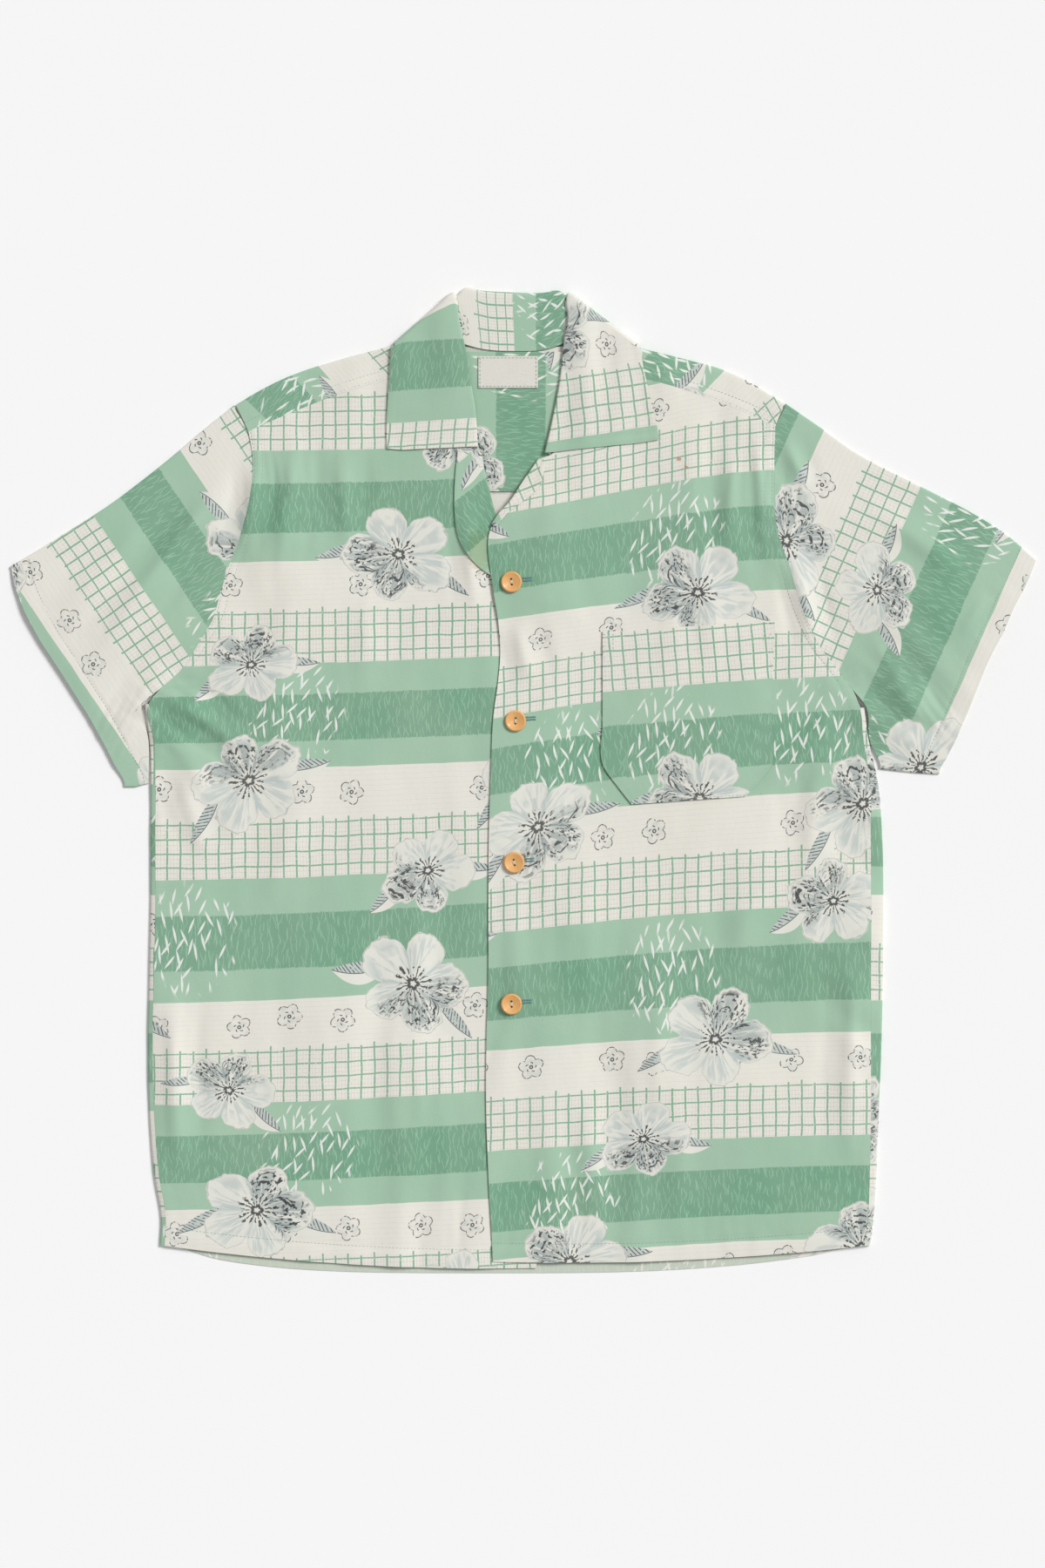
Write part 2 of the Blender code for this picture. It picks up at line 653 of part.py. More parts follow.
def pocket():
    rows = []
    for left_x, left_y, right_x, right_y in POCKET:
        points = [mix_points((left_x, left_y), (right_x, right_y), i / POCKET_COLUMNS)
                  for i in range(POCKET_COLUMNS + 1)]
        rows.append([(*p, left_front_mid(*p) + LAYER + LAYER_AIR) for p in points])
    return sheet("pocket", rows)


def label():
    lift = WALL / 2 + LABEL["wall"] / 2 + GAP
    rows = []
    for row in range(LABEL["rows"] + 1):
        y = mix(*LABEL["y"], row / LABEL["rows"])
        points = [(mix(*LABEL["x"], i / LABEL["columns"]), y) for i in range(LABEL["columns"] + 1)]
        rows.append([(*p, inner_yoke_mid(*p) + lift) for p in points])
    return sheet("label", rows, COTTON, LABEL["wall"])


def button_mesh():
    """One button: a turned disc with a raised rim, drilled for thread."""
    radius, height, rounding = BUTTON["radius"], BUTTON["height"], BUTTON["round"]
    floor = height - BUTTON["dish"]
    inner = radius - BUTTON["rim_width"]
    profile = ((0, 0), (radius - rounding, 0), (radius, rounding), (radius, height - rounding),
               (radius - rounding, height), (inner, height), (inner - BUTTON["dish"], floor),
               (0, floor))
    turned = bmesh.new()
    points = [turned.verts.new(Vector((x, 0, z)) * MM) for x, z in profile]
    edges = [turned.edges.new(pair) for pair in zip(points, points[1:])]
    bmesh.ops.spin(turned, geom=points + edges, cent=(0, 0, 0), axis=(0, 0, 1),
                   angle=math.tau, steps=BUTTON["flats"], use_merge=True)
    bmesh.ops.remove_doubles(turned, verts=turned.verts, dist=0.01 * MM)
    bmesh.ops.recalc_face_normals(turned, faces=turned.faces)
    disc_mesh = bpy.data.meshes.new("button")
    turned.to_mesh(disc_mesh)
    turned.free()
    disc = bpy.data.objects.new("button_blank", disc_mesh)
    drills = bmesh.new()
    for side in (-1, 1):
        made = bmesh.ops.create_cone(
            drills, cap_ends=True, segments=BUTTON["hole_flats"], depth=4 * height * MM,
            radius1=BUTTON["hole_radius"] * MM, radius2=BUTTON["hole_radius"] * MM)
        bmesh.ops.translate(drills, verts=made["verts"],
                            vec=(0, side * BUTTON["hole_apart"] / 2 * MM, 0))
    drill_mesh = bpy.data.meshes.new("button_drills")
    drills.to_mesh(drill_mesh)
    drills.free()
    drill = bpy.data.objects.new("button_drills", drill_mesh)
    for guide in (disc, drill):
        guide.hide_render = True
        guide.display_type = "WIRE"
        bpy.context.scene.collection.objects.link(guide)
    cut = disc.modifiers.new("thread holes", "BOOLEAN")
    cut.object = drill
    cut.operation = "DIFFERENCE"
    graph = bpy.context.evaluated_depsgraph_get()
    mesh = bpy.data.meshes.new_from_object(disc.evaluated_get(graph))
    mesh.name = "button_drilled"
    for guide in (disc, drill):
        bpy.data.objects.remove(guide)
    return mesh


def buttons():
    mesh = button_mesh()
    mesh.materials.append(material("button", WOOD))
    for number, (x, y) in enumerate(BUTTONS, 1):
        piece = bpy.data.objects.new(f"button_{number}", mesh)
        seat = max(left_front_mid(x + BUTTON["radius"] * dx, y + BUTTON["radius"] * dy)
                   for dx in (-1, 0, 1) for dy in (-1, 0, 1))
        piece.location = Vector((x, y, seat + WALL / 2 + GAP)) * MM
        bpy.context.scene.collection.objects.link(piece)


def main():
    for old in list(bpy.data.objects):
        bpy.data.objects.remove(old)
    back()
    yoke()
    inner_yoke()
    front("right_front", RIGHT_SIDE, RIGHT_ARMHOLE, RIGHT_CENTRE, top_mid)
    front("left_front", LEFT_SIDE, LEFT_ARMHOLE, LEFT_CENTRE, left_front_mid)
    sleeve("right_sleeve", RIGHT_SLEEVE, RIGHT_SIDE, RIGHT_ARMHOLE, RIGHT_BACK_ARMHOLE, -1)
    sleeve("left_sleeve", LEFT_SLEEVE, LEFT_SIDE, LEFT_ARMHOLE, LEFT_BACK_ARMHOLE, 1)
    collar()
    pocket()
    label()
    buttons()


main()
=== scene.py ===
"""A short-sleeved camp-collar shirt in a printed stripe, laid flat with its front up.

The script runs in Blender as it stands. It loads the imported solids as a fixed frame, makes each
piece of cloth as a smooth shell on the form of its solid, prints, stitches and buttons it, and
sets the stage. Tables and lengths are in millimetres unless a line says otherwise, +X is the
wearer's left and +Y the collar's way. Colours are as Blender's colour fields take them.
"""

import math

import bmesh
import bpy
from mathutils import Matrix, Vector, noise


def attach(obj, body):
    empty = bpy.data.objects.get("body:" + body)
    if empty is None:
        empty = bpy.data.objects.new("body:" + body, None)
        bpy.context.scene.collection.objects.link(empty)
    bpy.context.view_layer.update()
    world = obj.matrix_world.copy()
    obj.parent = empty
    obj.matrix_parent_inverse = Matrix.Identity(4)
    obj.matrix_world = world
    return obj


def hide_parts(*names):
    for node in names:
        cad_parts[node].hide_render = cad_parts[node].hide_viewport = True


bl_info = {
    "name": "Laid-Flat Camp-Collar Shirt",
    "version": (1, 0, 0),
    "blender": (4, 5, 0),
    "location": "View3D > Sidebar > Shirt",
    "description": "Makes a printed short-sleeved shirt that lies flat, piece by piece",
    "category": "Add Mesh",
}

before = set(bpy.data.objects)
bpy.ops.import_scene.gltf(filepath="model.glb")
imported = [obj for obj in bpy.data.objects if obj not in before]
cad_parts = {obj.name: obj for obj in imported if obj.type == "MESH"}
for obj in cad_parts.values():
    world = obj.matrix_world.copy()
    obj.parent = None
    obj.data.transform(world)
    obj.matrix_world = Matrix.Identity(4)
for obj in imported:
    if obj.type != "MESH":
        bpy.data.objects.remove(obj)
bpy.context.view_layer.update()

MM = 0.001

# ------------------------------------------------------------------------------ cut of the shirt

# Spacing of the solids' layers, which the cloth keeps. At its seams it closes up.
WALL = 1.05
GAP = 0.35
SEAM_GAP = 0.05
NECK_GAP = 0.3
LAYER = WALL + GAP
LAYER_AIR = 0.22
FLOOR_MID = WALL / 2
TOP_MID = FLOOR_MID + LAYER + LAYER_AIR

COLUMNS = 14
STRAP_COLUMNS = 8
FOLD_STEPS = 4
LAPEL_COLUMNS = 3

# Where a layer lies under others they rise over it: the yoke and all above it over the collar's
# fall, the fronts over the inner yoke, and the left front over the right front and its lapel.
# Each rise is full inside its box and fades out between flat and foot, measured from the box.
FALL_PILE = {"x": (-98, 86), "y": (304, 372), "flat": 3, "foot": 46}
INNER_YOKE_PILE = {"x": (-57, 42), "y": (140, 325), "flat": 4, "foot": 62}
OVERLAP_PILE = {"x": (-60, 16), "y": (-400, 196), "flat": 1, "foot": 36}
BREAK_PILE = {"x": (-60, 14), "y": (138, 200), "flat": 2, "foot": 36}

# Soft folds of the upper layer: a hill's middle, its heading from +X in degrees, its half
# length and half width, and its height.
SOFT_FOLDS = (
    # name                x     y   heading  half_length  half_width  height
    ("right chest",     -150,  110,    98,       215,         95,      2.4),
    ("left chest",       150,   80,    84,       235,         92,      2.4),
    ("right hem",       -140, -235,    84,       150,         95,      1.8),
    ("left hem",         140, -240,    98,       150,         95,      1.8),
    ("right armhole",   -196,  190,    76,        85,         34,      1.5),
    ("left armhole",     176,  185,   104,        80,         32,      1.5),
    ("right sleeve",    -300,  135,    35,        72,         66,      2.6),
    ("left sleeve",      300,  130,   144,        74,         66,      2.6),
)

# Sides of the body from hem to armpit. The seam is the front's edge; the back is folded round
# the side and comes forward to meet it.
RIGHT_SIDE = (
    # name       seam_x   seam_y  fold_x
    ("hem",      -271.5,  -352,   -274.0),
    ("stitch",   -270.5,  -333,   -273.0),
    ("thigh",    -275.5,  -300,   -278.0),
    ("low hip",  -279.5,  -250,   -282.0),
    ("hip",      -280.5,  -200,   -283.0),
    ("seat",     -279.5,  -148,   -282.0),
    ("waist",    -278.5,   -95,   -281.0),
    ("rib",      -278.5,   -42,   -281.0),
    ("low bust", -278.5,    -3,   -281.0),
    ("bust",     -279.5,    30,   -282.0),
    ("armpit",   -283.5,    58,   -286.0),
)
LEFT_SIDE = (
    # name       seam_x   seam_y  fold_x
    ("hem",       258.0,  -352,    261.5),
    ("stitch",    260.5,  -333,    264.0),
    ("thigh",     262.0,  -300,    266.0),
    ("low hip",   263.0,  -250,    268.0),
    ("hip",       263.0,  -200,    270.0),
    ("seat",      263.0,  -148,    271.0),
    ("waist",     263.0,   -95,    271.5),
    ("rib",       263.0,   -42,    270.5),
    ("low bust",  262.5,    -3,    267.5),
    ("bust",      257.5,    30,    260.5),
    ("armpit",    254.5,    55,    257.0),
)

# Armhole seams of the fronts, from above the armpit to the yoke's front seam.
RIGHT_ARMHOLE = (
    # x      y
    (-274,   70),
    (-259,   84),
    (-246,  103),
    (-235,  122),
    (-230,  139),
    (-222,  165),
    (-215,  183),
    (-209,  203),
    (-205,  226),
    (-205,  247),
    (-208,  264),
)
LEFT_ARMHOLE = (
    # x      y
    (249,    69),
    (238,    84),
    (224,   102),
    (214,   122),
    (207,   142),
    (201,   163),
    (194,   182),
    (190,   204),
    (190,   226),
    (190,   247),
    (191,   268),
)
# Armhole seams of the back, from above the armpit to the yoke's back seam.
RIGHT_BACK_ARMHOLE = ((-267, 78), (-248, 110), (-234, 145), (-226, 181), (-222, 217))
LEFT_BACK_ARMHOLE = ((242, 78), (227, 109), (213, 145), (206, 181), (202, 217))

# Centre edges of the fronts, one row for each row of the side and the armhole, and the rise of
# the row's middle. From the break up, the edge is the lapel's roll, and lapel_x and lapel_y
# are the lapel's free edge. Above the roll it is the neck seam, hidden by the collar.
RIGHT_CENTRE = (
    # name           x       y      rise   lapel_x  lapel_y
    ("hem",         10.0,  -369,   -5.5,    None,    None),
    ("stitch",      10.0,  -348,   -5.0,    None,    None),
    ("low",         10.0,  -312,   -3.0,    None,    None),
    ("button 4",    10.0,  -258,   -1.0,    None,    None),
    ("hip",         10.0,  -205,    0.0,    None,    None),
    ("seat",        10.0,  -150,    0.0,    None,    None),
    ("waist",       10.0,   -95,    0.0,    None,    None),
    ("rib",         10.0,   -40,    0.0,    None,    None),
    ("low bust",    10.0,     5,    0.0,    None,    None),
    ("bust",        10.0,    50,    0.0,    None,    None),
    ("armpit",      10.0,    93,    0.0,    None,    None),
    ("break",        8.0,   124,    0.0,    None,    None),
    ("turn",         4.0,   146,    0.0,     0.5,   142.5),
    ("roll 1",      -3.0,   160,    0.0,   -22.0,   153.5),
    ("roll 2",     -11.0,   175,    0.0,   -36.0,   163.5),
    ("roll 3",     -20.0,   195,    0.0,   -49.0,   184.0),
    ("roll 4",     -25.0,   212,    0.0,   -52.0,   206.0),
    ("roll 5",     -29.5,   231,    0.0,   -51.5,   229.0),
    ("roll top",   -34.0,   249.5,  0.0,   -49.5,   249.0),
    ("notch",      -40.0,   251.5,  0.0,    None,    None),
    ("neck 1",     -47.0,   286,    1.0,    None,    None),
    ("neck 2",     -57.0,   314,    5.5,    None,    None),
)
LEFT_CENTRE = (
    # name           x       y      rise   lapel_x  lapel_y
    ("hem",        -23.0,  -364,   -5.0,    None,    None),
    ("stitch",     -24.0,  -344,   -4.5,    None,    None),
    ("low",        -26.0,  -308,   -3.0,    None,    None),
    ("button 4",   -28.0,  -254,   -1.0,    None,    None),
    ("hip",        -28.0,  -202,    0.0,    None,    None),
    ("seat",       -26.5,  -148,    0.0,    None,    None),
    ("waist",      -26.5,   -95,    0.0,    None,    None),
    ("rib",        -26.0,   -40,    0.0,    None,    None),
    ("low bust",   -24.5,     6,    0.0,    None,    None),
    ("bust",       -22.5,    50,    0.0,    None,    None),
    ("armpit",     -19.0,    76,    0.0,    None,    None),
    ("button 2",   -17.5,    97,    0.0,    None,    None),
    ("wave",       -19.0,   120,    0.0,    None,    None),
    ("button 1",   -23.0,   146,    0.0,    None,    None),
    ("turn",       -23.5,   193,    0.0,   -20.0,   192.0),
    ("roll 1",     -18.5,   201,    0.0,   -11.0,   203.0),
    ("roll 2",     -11.0,   209,    0.0,    -2.0,   209.5),
    ("roll 3",       2.5,   229,    0.0,    11.5,   221.5),
    ("roll top",    12.5,   243,    0.0,    17.0,   239.5),
    ("notch",       21.0,   246.5,  0.0,    None,    None),
    ("neck 1",      32.0,   282,    1.0,    None,    None),
    ("neck 2",      40.0,   313,    7.0,    None,    None),
)

# Shoulder folds, where the yoke turns from the back to the front, from armhole to neck.
RIGHT_SHOULDER = ((-217.2, 283.3), (-198.7, 294.4), (-179, 304.2), (-160, 311.3), (-133, 319.3),
                  (-98, 328), (-71, 335))
LEFT_SHOULDER = ((196.8, 284.5), (183.5, 293.2), (163.7, 304.4), (144, 312.3), (118, 318.9),
                 (100, 323.2), (51, 335))
# Neck seam of the yoke between the shoulders, under the collar's stand.
BACK_NECK = ((-71, 335), (-58, 330), (-40, 328), (-7, 326.5), (25, 328), (41, 330.5), (51, 335))
YOKE_SEAM_Y = 217
BACK_COLUMNS = 12
# How far the back's rows hang below the sides, from the hem up, and how square that curve is on
# the right and on the left half.
HEM_DROP = (-20.8, -15, -7, -2)
HEM_SQUARENESS = {"right": 4, "left": 2.7}
# Where the yoke's back has its rows, as shares of it.
YOKE_SHARES = (0, 0.25, 0.5, 0.7, 0.85, 1)

# Inner yoke, seen through the neck. Its hidden sides end under the fronts.
INNER_YOKE_COLUMNS = 5
INNER_YOKE = (
    # y     left_x  right_x
    (219,   -38,     16),
    (240,   -42,     22),
    (262,   -47,     32),
    (285,   -50,     37),
    (305,   -50,     36),
    (324.4, -48,     34),
)

# Sleeves: points on the folded top edge from cuff to shoulder, on the cuff from its top to its
# bottom, and on the folded lower edge from cuff to body.
RIGHT_SLEEVE = {
    "top": ((-388.0, 161.2), (-369.5, 171.9), (-343.1, 188.4), (-316.7, 204.9), (-290.3, 224.6),
            (-263.9, 245.7), (-237.6, 268.2), (-218.7, 283.0)),
    "cuff": ((-388.0, 161.2), (-385.0, 146.3), (-376.8, 126.4), (-366.3, 106.6), (-353.1, 86.8),
             (-340.5, 67.0), (-328.0, 47.2), (-317.2, 27.4), (-307.3, 7.6), (-301.8, -3.7)),
    "low": ((-301.8, -3.7), (-294.0, -3.6), (-284.0, -1.0)),
}
LEFT_SLEEVE = {
    "top": ((388.0, 166.0), (382.5, 170.6), (368.2, 182.9), (355.1, 192.8), (328.7, 207.4),
            (302.3, 220.6), (275.9, 233.8), (249.5, 248.3), (223.0, 267.4), (198.4, 284.2)),
    "cuff": ((388.0, 166.0), (381.5, 149.5), (371.0, 129.8), (362.4, 110.0), (351.8, 90.2),
             (343.9, 70.4), (336.0, 50.6), (327.4, 30.8), (317.5, 11.0), (315.0, 6.0)),
    "low": ((315.0, 6.0), (293.0, 7.5), (270.5, 10.0)),
}
SLEEVE_ROWS = 7
FACET_EASE = 0.1          # extra air where a sleeve's flats meet the body's
ARMPIT_EASE = (0.4, 1)    # how far a sleeve stands off the armpit, outwards and up

# Collar sections from the right leaf's short end to the left one, between the roll and the
# outer edge. On a leaf the fall lies over the stand, and the neck edge follows the seam that
# the front and the yoke give it.
RIGHT_LEAF = (
    # roll_x  roll_y  outer_x  outer_y
    (-35.6,   252.5,  -104.5,  249.5),
    (-36.4,   267,    -103.5,  268),
    (-37.8,   283,    -102.5,  286),
    (-40.9,   301,    -101.5,  302),
    (-42.4,   316,    -100.8,  314),
    (-46.2,   332,    -100.0,  322),
    (-49.5,   347,     -99.3,  327.5),
)
LEFT_LEAF = (
    # roll_x  roll_y  outer_x  outer_y
    (17.3,    248,     103.8,  257),
    (21.3,    265,     101.0,  268),
    (25.3,    284,      97.5,  282),
    (28.6,    302,      94.0,  298),
    (30.4,    318,      91.5,  309),
    (32.2,    335,      89.5,  319),
    (34.5,    350,      87.5,  327),
)
# Where the band turns from a leaf to the back of the neck, both of its layers fold round.
RIGHT_TURN = {"neck": (-68, 343), "roll": (-55, 368.5), "outer": (-98.5, 330.5)}
LEFT_TURN = {"neck": (48.5, 343), "roll": (36, 368.5), "outer": (86.5, 330.5)}
# Behind the neck the stand lies over the fall.
BACK_OF_COLLAR = (
    # neck_x  neck_y  roll_x  roll_y  outer_x  outer_y
    (-54,     334,    -45.0,  370.3,  -82,     318),
    (-33,     327,    -31.0,  368.5,  -52,     309),
    (-7,      325,     -9.5,  367.3,   -7,     305),
    (20,      327,     13.5,  366.8,   38,     309),
    (37,      334,     28.0,  368,     68,     317),
)
STAND_COLUMNS = 3
FALL_COLUMNS = 5
TURN_STEPS = 6
TURN_RISE = 0.3       # how much the fall stands up before it turns down
ROLL_RISE = 0.6       # how much the back roll stands over flat layers

# Patch pocket, from its mouth down to its clipped corners.
POCKET = (
    # left_x  left_y  right_x  right_y
    (60.0,   112,    190.0,    121),
    (60.0,    79,    189.0,     84),
    (60.0,    45,    188.0,     47),
    (60.5,    11,    187.0,     10),
    (71.0,    -4,    177.5,     -2),
    (82.0,   -18,    168.0,    -12),
)
POCKET_COLUMNS = 7

LABEL = {"x": (-34, 11), "y": (297, 321), "half_wall": 0.35}
LABEL_COLUMNS = 4
LABEL_ROWS = 3
LABEL_SPACING = 1.5     # between the corners of its mesh
LABEL_SEWN = 1.3        # its stitches' distance from its edges

BUTTONS = ((-9, 150), (-6, 45), (-7, -62), (-9, -169))
BUTTON_TURNS = (7, -4, 10, 3)

# ------------------------------------------------------------------------------ lie of the print

# The print repeats down the cloth: check, pale green, deep green, pale green, cream.
REPEAT = 163.7
CHECK_END = 40.0
DEEP_START = 65.0
DEEP_END = 102.5
CREAM_START = 124.0
# The check's heavy lines: their spacing across and down, and where the first level one is.
CHECK_WIDTH = 9.8
CHECK_HEIGHT = 10.35
CHECK_FIRST = 0.6

# Heights of the stripes' edges on the fronts, at the centre edge and at the side: the check's
# end and the cream's start by turns, in each repeat from the top one down.
RIGHT_STRIPES = (
    # centre_y  side_y
    (252.8,     249.5),
    (171.6,     165.0),
    (95.7,       86.5),
    (16.5,        8.0),
    (-63.4,     -75.5),
    (-152.5,   -168.5),
    (-232.3,   -245.5),
    (-314.2,   -325.0),
)
LEFT_STRIPES = (
    # centre_y  side_y
    (201.3,     235.0),
    (121.4,     144.5),
    (46.9,       79.2),
    (-31.0,      -7.9),
    (-116.2,    -93.7),
    (-204.6,   -190.1),
    (-280.5,   -268.0),
    (-363.0,   -345.8),
)
STRIPE_BEND = 1.6     # how late the stripes of a front turn from the side's slope, as a power
# Stripes that run straight across a piece: the way that leads down the print, from +X in
# degrees, how far from the origin the stripes' first edge is along that way, the place in the
# print there, and how much the cloth is stretched.
STRAIGHT = {
    "right_sleeve": {"way": 34.1, "start": -234.8, "down": CREAM_START, "stretch": 1.025},
    "left_sleeve": {"way": -24.1, "start": 272.4, "down": CREAM_START, "stretch": 0.947},
    "yoke": {"way": 0, "start": 151.5, "down": CREAM_START, "stretch": 1.07},
    "inner_yoke": {"way": 0, "start": -20.6, "down": DEEP_START, "stretch": 1.0},
    "pocket": {"way": -85.2, "start": -61.5, "down": CHECK_END, "stretch": 0.96},
    "back": {"way": -90, "start": 300.0, "down": 10.0, "stretch": 1.0},
}
# On the collar's leaves: the place in the print at the point (x, y), how far the print goes on
# for each step up the leaf, and the slope of the stripes.
LEAF_PRINT = {
    "right": {"down": CHECK_END, "x": -70, "y": 272, "stretch": 1.037, "slope": 0.06},
    "left": {"down": CREAM_START + REPEAT, "x": 62, "y": 353, "stretch": -0.883, "slope": 0.157},
}
# How far the collar's leaf points are rounded off, as a share of their last step.
LEAF_ROUND = 0.16
# The large flowers: the columns' width, the columns' and rows' shift, and the size.
FLOWERS = ((232, (96, 44), 40), (310, (215, 118), 33))
FLOWER_LUCK = (34, 16)      # how far chance moves a flower, in all
BACK_FADED = 0.62           # how far the print is lost on the back of the cloth
# Stains on the fronts: colour, x, y, half_x, half_y, strength.
RUST = (0.50, 0.20, 0.06)
TAN = (0.62, 0.47, 0.20)
RIGHT_STAINS = ((TAN, -33, 174, 10, 18, 0.35),)
LEFT_STAINS = ((RUST, 117.5, 242.9, 2.2, 1.5, 0.7), (RUST, 123.4, 237, 1.6, 1.3, 0.7))
# The slopes that the yoke's print is turned by where it comes over the shoulders to the front.
RIGHT_SHOULDER_SLOPE = 21.5
LEFT_SHOULDER_SLOPE = -22.0

# Creases that the cloth kept from lying folded: the ends, the height over the cloth round it
# and the half width.
CREASES = (
    # name                     x1    y1     x2    y2   height  half_width
    ("right armpit fold 1",  -276,   70,  -205,   20,   1.5,    10),
    ("right armpit fold 2",  -268,   40,  -225,  -35,   1.1,    12),
    ("right side drape",     -266, -150,  -262, -300,   1.8,    11),
    ("right chest drape",    -172,  265,  -186,  150,   1.6,    11),
    ("right chest drape 2",  -200,  240,  -214,  172,   1.4,     9),
    ("right chest drape 3",  -138,  256,  -134,  176,   1.3,    10),
    ("right armpit fold 3",  -262,   10,  -240,  -60,   1.2,    10),
    ("right rib drape",      -118,  150,  -122,   40,   0.8,    14),
    ("left rib drape",        222,   40,   214, -110,   1.0,    13),
    ("left low drape",         52,  -40,    46, -230,   0.8,    13),
    ("right middle",          -82,  -60,   -76, -350,   1.0,    16),
    ("right hip",            -150,   20,  -205, -120,   0.9,    18),
    ("right break",           -44,  215,   -36,  120,   1.3,     9),
    ("left armhole drape",    176,  278,   182,  165,   1.5,     9),
    ("left armhole drape 2",  206,  170,   221,   95,   1.7,     9),
    ("left chest drape",      160,  262,   150,  150,   1.0,    12),
    ("left armpit fold",      246,   60,   176,   -8,   1.3,    11),
    ("left side drape",       250, -120,   246, -290,   1.4,    12),
    ("left middle",           106, -100,    96, -340,   0.9,    16),
    ("left hip",              200,  -40,   140, -170,   0.8,    18),
    ("placket wave",           -6,  120,     6,   70,   1.0,    10),
    ("right sleeve fold",    -222,  236,  -330,   84,   1.7,    12),
    ("right sleeve drape",   -262,  214,  -352,  128,   1.0,    12),
    ("right sleeve low",     -262,   92,  -316,   30,   1.2,    11),
    ("left sleeve crease",    197,  262,   214,  220,   1.9,     7),
    ("left sleeve drape",     250,  218,   340,  150,   1.0,    13),
    ("left sleeve low",       262,  110,   308,   36,   1.2,    11),
    ("left sleeve cuff",      330,  110,   352,  142,   0.9,     9),
)
CREASE_DEPTH = 0.35     # what each crease's trough sinks beside it, as a share of its height

# How far the loose cloth stands over its solid, and what each kind of unevenness adds at most.
LIFT = 1.7
LEAST_LIFT = 0.12
CREASES_RISE = 2.3
BROAD_RISE = 0.9
DRAPE_RISE = 3.4
RIPPLE_RISE = 0.34
CRUMPLE_RISE = 0.05
# Where the body's drapes turn to the sleeves', as distances from the middle, and the sleeves' way.
SLEEVE_BEGINS = (205, 255)
SLEEVE_WAY = (0.78, 0.62)
# Beside an edge with stitches: the groove that they press, the pillow between it and the edge,
# the pucker along it and how far past the stitches that still pulls the cloth.
GROOVE_DEPTH = 0.34
GROOVE_HALF_WIDTH = 1.1
PILLOW_HEIGHT = 0.22
PUCKER_HEIGHT = 0.3
PUCKER_REACH = 14

# Fine folds that the seams' pull leaves: the middle, the heading from +X in degrees that the
# folds run along, how far they reach and their height.
GATHERS = (
    # x     y    heading  reach  height
    (-262,   50,   -38,     56,   1.7),
    (234,    44,   218,     54,   1.7),
    (-192,  222,   -84,     50,   1.1),
    (176,   222,   -96,     50,   1.1),
    (-300,   34,    60,     46,   1.3),
    (298,    50,   126,     46,   1.3),
    (-40,  -344,    84,     60,   0.8),
    (150,  -338,    96,     60,   0.8),
)

# ------------------------------------------------------------------------------ small geometry


def mix(a, b, t):
    return a + (b - a) * t


def mix_points(a, b, t):
    return tuple(mix(p, q, t) for p, q in zip(a, b))


def slope(distance, inner, outer):
    """1 up to inner, 0 from outer on, and a smooth slope between them."""
    t = min(max((outer - distance) / (outer - inner), 0), 1)
    return t * t * (3 - 2 * t)


def along(points, t):
    """The point at the share t of the length of a line through the points."""
    lengths = [math.dist(a, b) for a, b in zip(points, points[1:])]
    rest = t * sum(lengths)
    for a, b, length in zip(points, points[1:], lengths):
        if rest <= length:
            return mix_points(a, b, rest / length)
        rest -= length
    return tuple(points[-1])


def shares(points):
    """How far along their line each of the points is, from 0 to 1."""
    found = [0]
    for a, b in zip(points, points[1:]):
        found.append(found[-1] + math.dist(a, b))
    return [length / found[-1] for length in found]


def aside(points, distance):
    """The line through the points, moved to its left by the distance."""
    moved = []
    for i, (x, y) in enumerate(points):
        before = points[max(i - 1, 0)]
        after = points[min(i + 1, len(points) - 1)]
        heading = Vector((after[0] - before[0], after[1] - before[1])).normalized()
        moved.append((x - heading.y * distance, y + heading.x * distance))
    return moved


def turn(x, y, angle):
    """The place turned back by an angle. All three may be numbers or wires of a shader."""
    if isinstance(angle, Wire):
        c, s = angle.math("COSINE"), angle.math("SINE")
    else:
        c, s = math.cos(angle), math.sin(angle)
    return x * c + y * s, y * c - x * s


def folded(low, high, out):
    """A fold's round edge from low to high. Points are (x, y, z, looseness)."""
    start, end = Vector(low[:3]), Vector(high[:3])
    centre = (start + end) / 2
    bulge = Vector((*Vector(out[:2]).normalized(), 0)) * (end - start).length / 2
    points = []
    for step in range(1, FOLD_STEPS):
        angle = math.pi * step / FOLD_STEPS
        place = centre + (start - centre) * math.cos(angle) + bulge * math.sin(angle)
        points.append((*place, mix(low[3], high[3], step / FOLD_STEPS)))
    return points


def held_back(slope_here, before, after):
    """The slope at a point, held down so that the line keeps between its neighbours."""
    if before * after <= 0:
        return 0
    most = 2 * min(abs(before), abs(after))
    return max(-most, min(most, slope_here))


